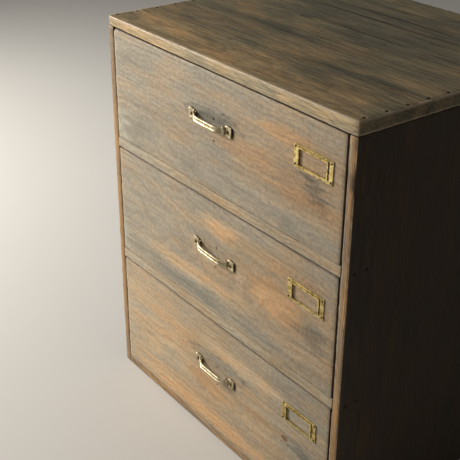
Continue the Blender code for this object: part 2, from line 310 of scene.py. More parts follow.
    def bevel(self, width: float, segments: int = 2, angle: float = 40.0) -> None:
        """Rounds the edges that are sharper than an angle.

        Args:
            width: The bevel's width.
            segments: How many steps round it has.
            angle: The least angle between two faces, in degrees.
        """
        self.apply("BEVEL", width=width, segments=segments, limit_method="ANGLE",
                   angle_limit=math.radians(angle), use_clamp_overlap=True)

    def combine(self, other: "Blank", operation: str) -> None:
        """Cuts another piece from this one or joins it on, and removes the other.

        Args:
            other: The other piece.
            operation: DIFFERENCE or UNION.
        """
        self.apply("BOOLEAN", operation=operation, solver="EXACT", object=other.obj)
        bpy.data.objects.remove(other.obj, do_unlink=True)

    def absorb(self, others: Sequence["Blank"]) -> None:
        """Joins other pieces in as loose parts of this mesh.

        Args:
            others: The pieces, which are used up.
        """
        self.activate()
        for other in others:
            other.obj.select_set(True)
        bpy.ops.object.join()

    def wear(self, depth: float, size: float, near: Optional[Callable[[Vector], float]] = None,
             contrast: float = 1.0) -> None:
        """Eats into the surface with a cloudy pattern, and never swells it.

        Args:
            depth: The most that is worn away.
            size: The size of the pattern's spots.
            near: Gives the share of the wear that a place takes, or None for all of it.
            contrast: How sharply the spots begin and end.
        """
        texture = bpy.data.textures.new(f"{self.obj.name}_wear", "CLOUDS")
        texture.noise_scale = size
        texture.noise_depth = WEAR_TEXTURE_DEPTH
        texture.contrast = contrast
        settings = {"texture": texture, "strength": depth, "mid_level": 1.0}
        if near:
            group = self.obj.vertex_groups.new(name="wear")
            for vert in self.obj.data.vertices:
                share = near(vert.co)
                if share > 0:
                    group.add([vert.index], share, "REPLACE")
            settings["vertex_group"] = "wear"
        self.apply("DISPLACE", **settings)
        self.obj.vertex_groups.clear()

    def copy(self, name: str, place: Matrix) -> "Blank":
        """Copies the piece, with a mesh of its own, and moves the copy.

        Args:
            name: The copy's name.
            place: The copy's movement.

        Returns:
            The copy.
        """
        mesh = self.obj.data.copy()
        mesh.name = name
        mesh.transform(place)
        obj = bpy.data.objects.new(name, mesh)
        bpy.context.scene.collection.objects.link(obj)
        return Blank(obj)

    def discard(self) -> None:
        """Removes the piece."""
        bpy.data.objects.remove(self.obj, do_unlink=True)

    def smooth(self, angle: float = 35.0) -> None:
        """Shades the piece smooth, except across edges sharper than an angle.

        Args:
            angle: The angle, in degrees.
        """
        self.activate()
        bpy.ops.object.shade_smooth_by_angle(angle=math.radians(angle))

    def hand_over(self, body: str, slot: str, material: bpy.types.Material,
                  nodes: Sequence[str] = ()) -> bpy.types.Object:
        """Dresses the finished piece and ties it to its body.

        Args:
            body: The body that it rides on.
            slot: The record's material slot; not used.
            material: Its material.
            nodes: The frame's nodes that it stands for.

        Returns:
            The finished object.
        """
        self.obj.data.materials.clear()
        self.obj.data.materials.append(material)
        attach(self.obj, body)
        if nodes:
            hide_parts(*nodes)
        log.info("%s: %d faces on %s", self.obj.name, len(self.obj.data.polygons), body)
        return self.obj


def clear_selection() -> None:
    """Leaves edit mode and deselects everything."""
    if bpy.context.object and bpy.context.object.mode != "OBJECT":
        bpy.ops.object.mode_set(mode="OBJECT")
    bpy.ops.object.select_all(action="DESELECT")


def middle(node: str) -> Vector:
    """Gives the middle of a node of the frame.

    Args:
        node: The node's name.

    Returns:
        The middle of its box.
    """
    low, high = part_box(node)
    return (low + high) / 2


def height_at(node: str, end: End, upper: bool) -> float:
    """Gives how high a node's top or bottom lies at one of its ends.

    Args:
        node: The node's name.
        end: Which end.
        upper: True for its top, False for its bottom.

    Returns:
        The height.
    """
    low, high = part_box(node)
    edge = low.x if end is End.LEFT else high.x
    near = [v.co.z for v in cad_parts[node].data.vertices if abs(v.co.x - edge) < 0.002]
    return max(near) if upper else min(near)


# Materials


Socket = bpy.types.NodeSocket
Value = "float | Socket"


class Graph:
    """A material's node tree, built a step at a time."""

    def __init__(self, name: str) -> None:
        """Starts a material that has one shader.

        Args:
            name: The material's name.
        """
        self.material = bpy.data.materials.new(name)
        self.material.use_nodes = True
        self.nodes = self.material.node_tree.nodes
        self.links = self.material.node_tree.links
        self.shader = self.nodes["Principled BSDF"]
        self.place = self.nodes.new("ShaderNodeTexCoord").outputs["Object"]

    def feed(self, socket: Socket, value: object) -> None:
        """Links an output to a socket, or sets the socket to a constant.

        Args:
            socket: The socket.
            value: An output, a number, a colour or a vector.
        """
        if isinstance(value, bpy.types.NodeSocket):
            self.links.new(value, socket)
        elif socket.type == "RGBA" and len(value) == 3:
            socket.default_value = (*value, 1.0)
        else:
            socket.default_value = value

    def math(self, operation: str, first: Value, second: Value = 0.0) -> Socket:
        """Adds a Math node.

        Args:
            operation: The operation.
            first: The first value.
            second: The second value.

        Returns:
            The result.
        """
        node = self.nodes.new("ShaderNodeMath")
        node.operation = operation
        for socket, value in zip(node.inputs, (first, second)):
            self.feed(socket, value)
        return node.outputs[0]

    def vector(self, operation: str, first: object, second: object = (0, 0, 0)) -> Socket:
        """Adds a Vector Math node.

        Args:
            operation: The operation.
            first: The first vector.
            second: The second vector.

        Returns:
            The result, which is a number for LENGTH and a vector otherwise.
        """
        node = self.nodes.new("ShaderNodeVectorMath")
        node.operation = operation
        self.feed(node.inputs[0], first)
        self.feed(node.inputs[1], second)
        return node.outputs["Value" if operation == "LENGTH" else "Vector"]

    def span(self, value: Value, low: float, high: float, first: float = 0.0, last: float = 1.0) -> Socket:
        """Maps a value smoothly from low..high to first..last, and holds it there.

        Args:
            value: The value.
            low: Where the change begins.
            high: Where it ends.
            first: The result at low.
            last: The result at high.

        Returns:
            The result.
        """
        node = self.nodes.new("ShaderNodeMapRange")
        node.interpolation_type = "SMOOTHSTEP"
        for socket, number in zip(node.inputs, (value, low, high, first, last)):
            self.feed(socket, number)
        return node.outputs[0]

    def noise(self, place: object, scale: float, detail: float = 2.0, roughness: float = 0.5,
              colored: bool = False) -> Socket:
        """Adds a noise pattern.

        Args:
            place: The coordinates.
            scale: Its scale.
            detail: How many finer layers it has.
            roughness: How strong they are.
            colored: True for three patterns in one colour.

        Returns:
            The pattern.
        """
        node = self.nodes.new("ShaderNodeTexNoise")
        self.feed(node.inputs["Vector"], place)
        node.inputs["Scale"].default_value = scale
        node.inputs["Detail"].default_value = detail
        node.inputs["Roughness"].default_value = roughness
        return node.outputs["Color" if colored else "Fac"]

    def cells(self, place: object, scale: float) -> Socket:
        """Adds a Voronoi pattern and gives the distance to the nearest cell's point.

        Args:
            place: The coordinates.
            scale: Its scale.

        Returns:
            The distance, in cells.
        """
        node = self.nodes.new("ShaderNodeTexVoronoi")
        self.feed(node.inputs["Vector"], place)
        node.inputs["Scale"].default_value = scale
        return node.outputs["Distance"]

    def moved(self, place: object, centre: Triple, turn: Triple, size: Triple) -> Socket:
        """Centres, turns and scales coordinates on a spot.

        Args:
            place: The coordinates.
            centre: The spot's middle.
            turn: The spot's rotation.
            size: The spot's size.

        Returns:
            The coordinates, with the spot's edge one away from its middle.
        """
        node = self.nodes.new("ShaderNodeMapping")
        node.vector_type = "TEXTURE"
        self.feed(node.inputs["Vector"], place)
        node.inputs["Location"].default_value = centre
        node.inputs["Rotation"].default_value = turn
        node.inputs["Scale"].default_value = size
        return node.outputs[0]

    def offset(self, pattern: Socket, reach: Sequence[float]) -> Socket:
        """Turns a pattern of three values into a push to and fro.

        Args:
            pattern: The pattern, with values round a half.
            reach: How far it pushes along each axis.

        Returns:
            The push.
        """
        return self.vector("MULTIPLY", self.vector("SUBTRACT", pattern, (0.5, 0.5, 0.5)), reach)

    def scaled(self, color: Socket, amount: Value) -> Socket:
        """Makes a colour lighter or darker.

        Args:
            color: The colour.
            amount: What it is multiplied by.

        Returns:
            The colour.
        """
        node = self.nodes.new("ShaderNodeVectorMath")
        node.operation = "SCALE"
        self.feed(node.inputs[0], color)
        self.feed(node.inputs["Scale"], amount)
        return node.outputs["Vector"]

    def mix(self, share: Value, first: object, second: object) -> Socket:
        """Mixes two colours.

        Args:
            share: How much of the second.
            first: The first colour.
            second: The second colour.

        Returns:
            The colour.
        """
        node = self.nodes.new("ShaderNodeMix")
        node.data_type = "RGBA"
        self.feed(node.inputs[0], share)
        self.feed(node.inputs[6], first)
        self.feed(node.inputs[7], second)
        return node.outputs[2]

    def ramp(self, value: Value, stops: Sequence[tuple[float, Color]]) -> Socket:
        """Maps a value to a colour.

        Args:
            value: The value, from 0 to 1.
            stops: Places and their colours.

        Returns:
            The colour.
        """
        node = self.nodes.new("ShaderNodeValToRGB")
        self.feed(node.inputs[0], value)
        elements = node.color_ramp.elements
        while len(elements) < len(stops):
            elements.new(0.5)
        for element, (place, color) in zip(elements, stops):
            element.position = place
            element.color = (*color, 1.0)
        return node.outputs[0]

    def total(self, values: Sequence[Value]) -> Socket:
        """Adds up values.

        Args:
            values: The values.

        Returns:
            Their sum.
        """
        result = values[0]
        for value in values[1:]:
            result = self.math("ADD", result, value)
        return result

    def relief(self, height: Value, depth: float, strength: float = 1.0) -> None:
        """Gives the shader a bump.

        Args:
            height: The height, from 0 to 1.
            depth: The height's real size, in metres.
            strength: How much of it is used.
        """
        node = self.nodes.new("ShaderNodeBump")
        node.inputs["Strength"].default_value = strength
        node.inputs["Distance"].default_value = depth
        self.feed(node.inputs["Height"], height)
        self.links.new(node.outputs[0], self.shader.inputs["Normal"])


@dataclass(frozen=True)
class StainAndPaintedLight:
    """A soft patch on a board that is warmer, colder, darker or lighter than the rest: a real mark, or painted shade,
    shadow or sheen.

    Places and sizes are in metres from the middle of the board. A rim leaves only the
    outline, as round a plate that was taken off.
    """

    place: Triple
    size: Triple
    warm: float = 0.0
    light: float = 0.0
    turn: float = 0.0
    rim: bool = False
    soft: float = 0.75


@dataclass(frozen=True)
class Pith:
    """Where the heart of the tree ran, beside the board, and how it leaned."""

    place: Triple
    lean: Triple = (0.0, 0.0, 0.0)


@dataclass(frozen=True)
class WoodFinish:
    """Old softwood: its colours from cold grey to warm orange, and how strongly it is marked."""

    slot: str
    cold: Color
    plain: Color
    warm: Color
    bright: Color
    worn: Color
    # Colour of pores, specks and grime; also laid on as painted shade behind the front edge.
    dirt_and_shade: Color
    base_warm: float = 0.4
    ring_spacing: float = 0.0042
    ring_depth: float = 0.25
    band_warm: float = 0.5
    band_dark: float = 0.25
    fibre_dark: float = 0.22
    pore_dark: float = 0.35
    edge_worn: float = 0.5
    edge_reach: float = 0.004
    roughness: float = 0.62
    relief: float = 0.0003
    # How far the wood behind the front edge is darkened: painted shade in the gaps, old holes and side faces, with
    # some grime.
    hidden_shade_and_grime: float = 0.0
    # Which edge (-1 bottom, 1 top, 0 none) keeps only a quarter of that darkening.
    less_darkened_edge: int = 0
    mottle: float = 0.12
    drift: float = 0.03
    ripple: float = 0.0018
    shake: Triple = (0.024, 0.014, 0.014)
    comb_along: float = 0.13
    comb_across: float = 0.008
    scratches: tuple[Triple, ...] = ((0.09, 700.0, 0.10), (-0.42, 420.0, 0.09))
    scratch_length: float = 9.0
    small_patch: float = 0.012

    def stretch(self, graph: Graph, grain: Grain, along: float, across: float, seed: float) -> Socket:
        """Scales coordinates so that a pattern is drawn out along the grain.

        Args:
            graph: The node tree.
            grain: The direction of the fibres.
            along: The scale along them.
            across: The scale across them.
            seed: Moves the pattern, so that boards differ.

        Returns:
            The coordinates.
        """
        scale = [across, across, across]
        scale[grain.value] = along
        scaled = graph.vector("MULTIPLY", graph.place, scale)
        return graph.vector("ADD", scaled, (seed, seed * 0.37, -seed * 0.71))

    def slanted(self, graph: Graph, grain: Grain, slant: float, across: float, seed: float) -> Socket:
        """Draws coordinates out along a line that crosses the grain at a slant, as scratches do.

        Args:
            graph: The node tree.
            grain: The direction of the fibres.
            slant: The angle to the grain, in radians.
            across: The scale across the line.
            seed: Moves the pattern.

        Returns:
            The coordinates.
        """
        turn = (0.0, 0.0, slant) if grain is Grain.ALONG_Y else (0.0, slant, 0.0)
        size = [1 / across, 1 / across, 1 / across]
        size[grain.value] = 1 / self.scratch_length
        return graph.moved(graph.place, (seed * 0.01, seed * 0.003, seed * 0.007), turn, tuple(size))

    def rings(self, graph: Graph, grain: Grain, pith: Pith, seed: float) -> Socket:
        """Draws the year rings as a solid pattern round the pith.

        Args:
            graph: The node tree.
            grain: The direction of the fibres.
            pith: The heart of the tree.
            seed: Moves the pattern.

        Returns:
            The share of dark latewood.
        """
        slow = graph.noise(self.stretch(graph, grain, 2.2, 9.0, seed), 1.0, 2.0, 0.5, True)
        quick = graph.noise(self.stretch(graph, grain, 12.0, 70.0, seed), 1.0, 1.0, 0.5, True)
        warped = graph.vector("ADD", graph.vector("ADD", graph.place, graph.offset(slow, (self.drift,) * 3)),
                              graph.offset(quick, (self.ripple,) * 3))
        size = [1.0, 1.0, 1.0]
        size[grain.value] = 1000.0
        out = graph.vector("LENGTH", graph.moved(warped, pith.place, pith.lean, tuple(size)))
        uneven = graph.noise(graph.vector("SUBTRACT", warped, pith.place), 22.0, 1.0)
        count = graph.math("ADD", graph.math("DIVIDE", out, self.ring_spacing), graph.math("MULTIPLY", uneven, 2.0))
        phase = graph.math("FRACT", count)
        rise = graph.span(phase, 0.35, 0.88)
        fall = graph.span(phase, 0.92, 1.0, 1.0, 0.0)
        return graph.math("MULTIPLY", rise, fall)

    def edge_wear(self, graph: Graph, low: Vector, high: Vector, ragged: Socket) -> Socket:
        """Finds the worn edges of a board.

        Args:
            graph: The node tree.
            low: The board's lowest corner.
            high: Its highest corner.
            ragged: A pattern that makes the worn strip uneven.

        Returns:
            The share of wear.
        """
        inside = graph.vector("MINIMUM", graph.vector("SUBTRACT", graph.place, low),
                              graph.vector("SUBTRACT", high, graph.place))
        split = graph.nodes.new("ShaderNodeSeparateXYZ")
        graph.links.new(inside, split.inputs[0])
        x, y, z = split.outputs
        least = graph.math("MINIMUM", graph.math("MINIMUM", x, y), z)
        most = graph.math("MAXIMUM", graph.math("MAXIMUM", x, y), z)
        second = graph.math("SUBTRACT", graph.math("SUBTRACT", graph.total([x, y, z]), least), most)
        reach = graph.math("MULTIPLY", ragged, 2 * self.edge_reach)
        return graph.span(graph.math("DIVIDE", second, reach), 0.15, 1.0, 1.0, 0.0)

    def hidden(self, graph: Graph, low: Vector, high: Vector) -> Socket:
        """Finds the wood behind the front edge, where gaps and holes lie, to be darkened as grime and painted shade.

        Args:
            graph: The node tree.
            low: The board's lowest corner.
            high: Its highest corner.

        Returns:
            The share of grime and painted shade.
        """
        split = graph.nodes.new("ShaderNodeSeparateXYZ")
        graph.links.new(graph.place, split.inputs[0])
        depth = split.outputs[1]
        behind = graph.span(depth, low.y + 0.0004, low.y + 0.0024, 0.0, self.hidden_shade_and_grime)
        if self.less_darkened_edge:
            edge = low.z if self.less_darkened_edge < 0 else high.z
            height = graph.math("ABSOLUTE", graph.math("SUBTRACT", split.outputs[2], edge))
            near = graph.span(height, 0.001, 0.003, 0.25, 1.0)
            behind = graph.math("MULTIPLY", behind, near)
        return graph.math("MULTIPLY", behind, graph.span(depth, high.y - 0.004, high.y - 0.002, 1.0, 0.0))

    def ragged_place(self, graph: Graph, grain: Grain, seed: float) -> Socket:
        """Pushes coordinates about, so that a patch gets an uneven edge drawn out along the grain.

        Args:
            graph: The node tree.
            grain: The direction of the fibres.
            seed: Moves the pattern.

        Returns:
            The coordinates.
        """
        shaken = graph.offset(graph.noise(graph.place, 28.0, 3.0, 0.6, True), self.shake)
        comb = graph.noise(self.stretch(graph, grain, 7.0, 130.0, seed + 2), 1.0, 3.0, 0.65, True)
        reach = [self.comb_across] * 3
        reach[grain.value] = self.comb_along
        return graph.vector("ADD", graph.vector("ADD", graph.place, shaken), graph.offset(comb, reach))

    def mark(self, graph: Graph, grain: Grain, centre: Vector, seed: float, stains_and_painted_light: Sequence[StainAndPaintedLight],
             warmth: list, light: list) -> None:
        """Adds each patch's share to the board's warmth and lightness; the patches are real marks and painted shade,
        shadow and sheen.

        Args:
            graph: The node tree.
            grain: The direction of the fibres.
            centre: The board's middle.
            seed: Moves the patterns.
            stains_and_painted_light: The patches.
            warmth: What makes the wood warmer or colder, which this adds to.
            light: What makes it lighter or darker, which this adds to.
        """
        loose = self.ragged_place(graph, grain, seed)
        for colour_patch in stains_and_painted_light:
            source = loose if min(colour_patch.size) > self.small_patch else graph.place
            spot = graph.moved(source, centre + Vector(colour_patch.place), (0, colour_patch.turn, 0), colour_patch.size)
            out = graph.vector("LENGTH", spot)
            share = graph.span(out, 1.0 - colour_patch.soft, 1.0, 1.0, 0.0)
            if colour_patch.rim:
                share = graph.math("MULTIPLY", graph.span(out, 0.84, 0.96), graph.span(out, 0.98, 1.12, 1.0, 0.0))
            if colour_patch.warm:
                warmth.append(graph.math("MULTIPLY", share, colour_patch.warm))
            if colour_patch.light:
                light.append(graph.math("MULTIPLY", share, colour_patch.light))

    def make(self, name: str, grain: Grain, low: Vector, high: Vector, pith: Pith, seed: float = 0.0,
             stains_and_painted_light: Sequence[StainAndPaintedLight] = ()) -> bpy.types.Material:
        """Makes the material of one board.

        Args:
            name: The material's name.
            grain: The direction of the fibres.
            low: The board's lowest corner.
            high: Its highest corner.
            pith: The heart of the tree.
            seed: Moves the patterns, so that boards differ.
            stains_and_painted_light: Patches with their places from the board's middle.

        Returns:
            The material.
        """
        graph = Graph(name)
        late = self.rings(graph, grain, pith, seed)
        bands = graph.noise(self.stretch(graph, grain, 5.0, 60.0, seed), 1.0, 3.0, 0.55)
        clouds = graph.noise(self.stretch(graph, grain, 9.0, 26.0, seed + 5), 1.0, 4.0, 0.62)
        fibre = graph.noise(self.stretch(graph, grain, 26.0, 650.0, seed), 1.0, 3.0, 0.6)
        streak = graph.noise(self.stretch(graph, grain, 12.0, 260.0, seed + 9), 1.0, 2.0, 0.5)

        warmth = [self.base_warm,
                  graph.span(bands, 0.3, 0.7, -self.band_warm / 3, self.band_warm / 3),
                  graph.span(clouds, 0.32, 0.68, -self.band_warm * 0.7, self.band_warm * 0.7)]
        light = [1.0,
                 graph.span(streak, 0.3, 0.7, -self.band_dark / 2, self.band_dark / 2),
                 graph.span(graph.noise(self.stretch(graph, grain, 7.0, 40.0, seed + 21), 1.0, 4.0, 0.6),
                            0.3, 0.7, -self.band_dark / 2, self.band_dark / 2)]
        for slant, across, reach in self.scratches:
            line = graph.noise(self.slanted(graph, grain, slant, across, seed), 1.0, 2.0, 0.6)
            light.append(graph.span(line, 0.64, 0.74, 0.0, reach))
        light.append(graph.span(graph.noise(graph.place, 150.0, 6.0, 0.78), 0.3, 0.7, -self.mottle, self.mottle))
        self.mark(graph, grain, (Vector(low) + Vector(high)) / 2, seed, stains_and_painted_light, warmth, light)

        color = graph.ramp(graph.total(warmth), [(0.0, self.cold), (0.35, self.plain), (0.7, self.warm),
                                                 (1.0, self.bright)])
        value = graph.total(light)
        ring_shade = graph.math("SUBTRACT", 1.0, graph.math("MULTIPLY", late, self.ring_depth))
        fibre_shade = graph.span(fibre, 0.3, 0.7, 1.0 - self.fibre_dark, 1.0 + self.fibre_dark * 0.6)
        value = graph.math("MULTIPLY", graph.math("MULTIPLY", value, ring_shade), fibre_shade)
        color = graph.scaled(color, value)

        pores = graph.span(graph.noise(self.stretch(graph, grain, 60.0, 1400.0, seed + 3), 1.0, 2.0, 0.7), 0.6, 0.72)
        color = graph.mix(graph.math("MULTIPLY", pores, self.pore_dark), color, self.dirt_and_shade)
        ragged = graph.noise(graph.place, 90.0, 4.0, 0.7)
        worn = graph.math("MULTIPLY", self.edge_wear(graph, low, high, ragged), self.edge_worn)
        color = graph.mix(worn, color, self.worn)
        # Painted shade with some grime: darkens the wood behind the front edge.
        if self.hidden_shade_and_grime:
            color = graph.mix(self.hidden(graph, low, high), color, self.dirt_and_shade)
        specks = graph.span(graph.cells(graph.place, 46.0), 0.035, 0.06, 0.75, 0.0)
        color = graph.mix(specks, color, self.dirt_and_shade)
        graph.links.new(color, graph.shader.inputs["Base Color"])

        rough = graph.math("ADD", graph.span(fibre, 0.3, 0.7, 0.1, -0.06), self.roughness)
        graph.links.new(graph.math("SUBTRACT", rough, graph.math("MULTIPLY", late, 0.08)),
                        graph.shader.inputs["Roughness"])
        height = graph.total([graph.math("MULTIPLY", fibre, 0.45), graph.math("MULTIPLY", late, 0.35),
                              graph.math("MULTIPLY", pores, -0.5), graph.math("MULTIPLY", specks, -0.8),
                              graph.math("MULTIPLY", streak, 0.3)])
        graph.relief(height, self.relief)
        return graph.material


@dataclass(frozen=True)
class BrassFinish:
    """Old brass: bright where hands rub it, brown and greenish where they don't."""

    slot: str
    rubbed: Color
    dull: Color
    tarnish: Color
    dull_share: float = 0.5
    roughness: float = 0.28
    grain: float = 0.00002

    def make(self, name: str) -> bpy.types.Material:
        """Makes the material.

        Args:
            name: The material's name.

        Returns:
            The material.
        """
        graph = Graph(name)
        cloud = graph.noise(graph.place, 160.0, 4.0, 0.65)
        spots = graph.noise(graph.place, 420.0, 3.0, 0.6)
        share = graph.span(cloud, 0.35, 0.35 + 0.6 * self.dull_share, 1.0, 0.0)
        color = graph.mix(share, self.rubbed, self.dull)
        color = graph.mix(graph.span(spots, 0.58, 0.72, 0.0, 0.7), color, self.tarnish)
        graph.links.new(color, graph.shader.inputs["Base Color"])
        rough = graph.total([self.roughness, graph.math("MULTIPLY", share, 0.14),
                             graph.span(spots, 0.35, 0.7, -0.05, 0.14)])
        graph.links.new(rough, graph.shader.inputs["Roughness"])
        graph.shader.inputs["Metallic"].default_value = 1.0
        graph.relief(graph.math("ADD", spots, graph.noise(graph.place, 2600.0, 2.0, 0.6)), self.grain, 0.6)
        return graph.material


@dataclass(frozen=True)
class IronFinish:
    """The rusted iron of old nails."""

    rust: Color = tone(66, 44, 30)
    bare: Color = tone(38, 34, 32)

    def make(self, name: str) -> bpy.types.Material:
        """Makes the material.

        Args:
            name: The material's name.

        Returns:
            The material.
        """
        graph = Graph(name)
        spots = graph.noise(graph.place, 900.0, 4.0, 0.7)
        color = graph.mix(graph.span(spots, 0.4, 0.62), self.bare, self.rust)
        graph.links.new(color, graph.shader.inputs["Base Color"])
        graph.links.new(graph.span(spots, 0.3, 0.7, 0.55, 0.9), graph.shader.inputs["Roughness"])
        graph.shader.inputs["Metallic"].default_value = 0.5
        graph.relief(spots, 0.0002, 0.8)
        return graph.material


# Fronts: the top faces behind the front edge are darkened as painted shade of the gap above, with some grime.
FRONT_WOOD = WoodFinish(
    slot="front_wood", cold=tone(146, 139, 122), plain=tone(164, 152, 131), warm=tone(179, 154, 121),
    bright=tone(187, 149, 106), worn=tone(192, 180, 160), dirt_and_shade=tone(52, 40, 29), base_warm=0.46,
    ring_spacing=0.0075, ring_depth=0.15, band_warm=0.27, band_dark=0.16, fibre_dark=0.10, pore_dark=0.42,
    edge_worn=0.3, edge_reach=0.0025, hidden_shade_and_grime=0.8, less_darkened_edge=-1, mottle=0.21)
TOP_WOOD = WoodFinish(
    slot="top_wood", cold=tone(108, 101, 78), plain=tone(128, 113, 84), warm=tone(148, 124, 87),
    bright=tone(162, 129, 87), worn=tone(190, 170, 144), dirt_and_shade=tone(46, 38, 28), base_warm=0.36,
    ring_spacing=0.006, ring_depth=0.22, band_warm=0.45, band_dark=0.34, fibre_dark=0.36, pore_dark=0.7,
    roughness=0.52, edge_worn=0.7, edge_reach=0.005)
# Case boards: the faces behind the front edge are darkened nearly to the grime colour, partly darker old wood and
# partly painted shade.
CASE_WOOD = WoodFinish(
    slot="case_wood", cold=tone(136, 120, 98), plain=tone(154, 126, 92), warm=tone(166, 130, 86),
    bright=tone(178, 136, 82), worn=tone(190, 160, 126), dirt_and_shade=tone(31, 22, 14), base_warm=0.45,
    ring_spacing=0.0034, ring_depth=0.42, band_dark=0.3, fibre_dark=0.16, edge_worn=0.3, edge_reach=0.0025,
    hidden_shade_and_grime=0.87)
# Rails: the underside over each drawer's gap is darkened as painted shade, with some grime.
RAIL_WOOD = WoodFinish(
    slot="case_wood", cold=tone(156, 148, 128), plain=tone(170, 158, 134), warm=tone(179, 157, 125),
    bright=tone(186, 154, 112), worn=tone(190, 176, 150), dirt_and_shade=tone(52, 40, 29), base_warm=0.5, pore_dark=0.45,
    mottle=0.2, ring_depth=0.2, band_warm=0.4, band_dark=0.16, fibre_dark=0.10, edge_worn=0.3, edge_reach=0.002,
    hidden_shade_and_grime=0.94, less_darkened_edge=1)
INNER_WOOD = WoodFinish(
    slot="inner_wood", cold=tone(170, 146, 112), plain=tone(184, 154, 114), warm=tone(194, 156, 108),
    bright=tone(200, 152, 98), worn=tone(204, 176, 136), dirt_and_shade=tone(100, 74, 48), base_warm=0.45,
    ring_depth=0.28, edge_worn=0.2, roughness=0.7)
PULL_BRASS = BrassFinish(
    slot="pull_brass", rubbed=tone(224, 212, 180), dull=tone(160, 144, 110), tarnish=tone(64, 52, 34),
    dull_share=0.55, roughness=0.36)
LABEL_BRASS = BrassFinish(
    slot="label_brass", rubbed=tone(230, 208, 142), dull=tone(158, 136, 78), tarnish=tone(74, 64, 36),
    dull_share=0.45, roughness=0.27)
SCREW_BRASS = BrassFinish(
    slot="screw_brass", rubbed=tone(128, 104, 68), dull=tone(78, 62, 40), tarnish=tone(34, 28, 20),
    dull_share=0.8, roughness=0.45)
NAIL_IRON = IronFinish()


# Boards


@dataclass
class Board:
    """One worn board of the case or of a drawer, made between the corners of its CAD node."""

    node: str
    body: str
    finish: WoodFinish
    grain: Grain
    pith: Pith
    seed: float = 0.0
    cell: float = 0.008
    edge: float = 0.0011
    edge_wear: float = 0.0009
    face_wear: float = 0.00035
    stains_and_painted_light: tuple[StainAndPaintedLight, ...] = ()
    blank: Optional[Blank] = field(default=None, repr=False)
    low: Vector = field(init=False, repr=False)
    high: Vector = field(init=False, repr=False)

    def __post_init__(self) -> None:
        """Looks the node's corners up once."""
        self.low, self.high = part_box(self.node)

    def cut_blank(self, name: str) -> Blank:
        """Adds the board's plain block.

        Args:
            name: The piece's name.

        Returns:
            The block, which the board keeps.
        """
        self.blank = Blank.block(name, self.low, self.high)
        return self.blank

    def divide(self) -> None:
        """Divides the block into cells that are fine enough for its wear."""
        size = self.high - self.low
        for axis in range(3):
            self.blank.split(axis, max(1, round(size[axis] / self.cell) - 1))

    def near_edge(self, place: Vector) -> float:
        """Gives the share of the edges' wear that a place takes.

        Args:
            place: A point on the board.

        Returns:
            1 at an edge and 0 away from it.
        """
        inside = sorted(min(place[n] - self.low[n], self.high[n] - place[n]) for n in range(3))
        return max(0.0, 1.0 - inside[1] / (4 * self.edge))

    def age(self) -> None:
        """Rounds the edges and wears the faces and the edges away a little."""
        self.blank.bevel(self.edge, 2)
        self.blank.wear(self.face_wear, 0.05)
        self.blank.wear(self.edge_wear, 0.012, self.near_edge, 1.6)

    def dress(self) -> bpy.types.Object:
        """Gives the board its wood and ties it to its body.

        Returns:
            The finished board.
        """
        material = self.finish.make(f"{self.blank.obj.name}_wood", self.grain, self.low, self.high, self.pith,
                                    self.seed, self.stains_and_painted_light)
        self.blank.smooth(30)
        return self.blank.hand_over(self.body, self.finish.slot, material, [self.node])

    def build(self) -> bpy.types.Object:
        """Makes the plain worn board from start to finish.

        Returns:
            The finished board.
        """
        self.cut_blank(f"{self.node}_aged")
        self.divide()
        self.age()
        return self.dress()


def dress_node(node: str, finish: WoodFinish, grain: Grain, pith: Pith, seed: float) -> None:
    """Gives a CAD node that stays visible its wood.

    Args:
        node: The node's name.
        finish: Its finish.
        grain: The direction of its fibres.
        pith: The heart of the tree.
        seed: Moves the patterns.
    """
    low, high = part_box(node)
    material = finish.make(f"{node}_wood", grain, low, high, pith, seed)
    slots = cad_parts[node].material_slots
    for slot in slots:
        slot.material = material
    if not len(slots):
        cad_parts[node].data.materials.append(material)
    log.info("%s: dressed", node)


# Nails


@dataclass
class NailRow:
    """A row of cut nails driven into a face, all in one piece."""

    name: str
    places: Sequence[Vector]
    direction: Vector
    radius: float = 0.0024
    sunk: float = 0.0006
    head: float = 0.0016
    slot: str = "case_wood"

    def pockets(self, board: Blank) -> None:
        """Cuts the pocket that each nail sits in.

        Args:
            board: The board.
        """
        turn = self.direction.to_track_quat("Z", "Y").to_euler()
        rods = [Blank.rod(f"{self.name}_pocket", place, 4 * self.head, self.radius * 1.15, 12, tuple(turn))
                for place in self.places]
        rods[0].absorb(rods[1:])
        board.combine(rods[0], "DIFFERENCE")

    def build(self, body: str, material: bpy.types.Material) -> bpy.types.Object:
        """Makes the nails' heads.

        Args:
            body: The body that they ride on.
            material: Their iron.

        Returns:
            The finished row.
        """
        turn = self.direction.to_track_quat("Z", "Y").to_euler()
        heads = []
        for place in self.places:
            centre = place - self.direction * (self.sunk + self.head / 2)
            head = Blank.rod(f"{self.name}_head", centre, self.head, self.radius, 16, tuple(turn))
            head.bevel(0.0004, 2)
            heads.append(head)
        heads[0].absorb(heads[1:])
        heads[0].obj.name = self.name
        heads[0].smooth(40)
        return heads[0].hand_over(body, self.slot, material)


# Case


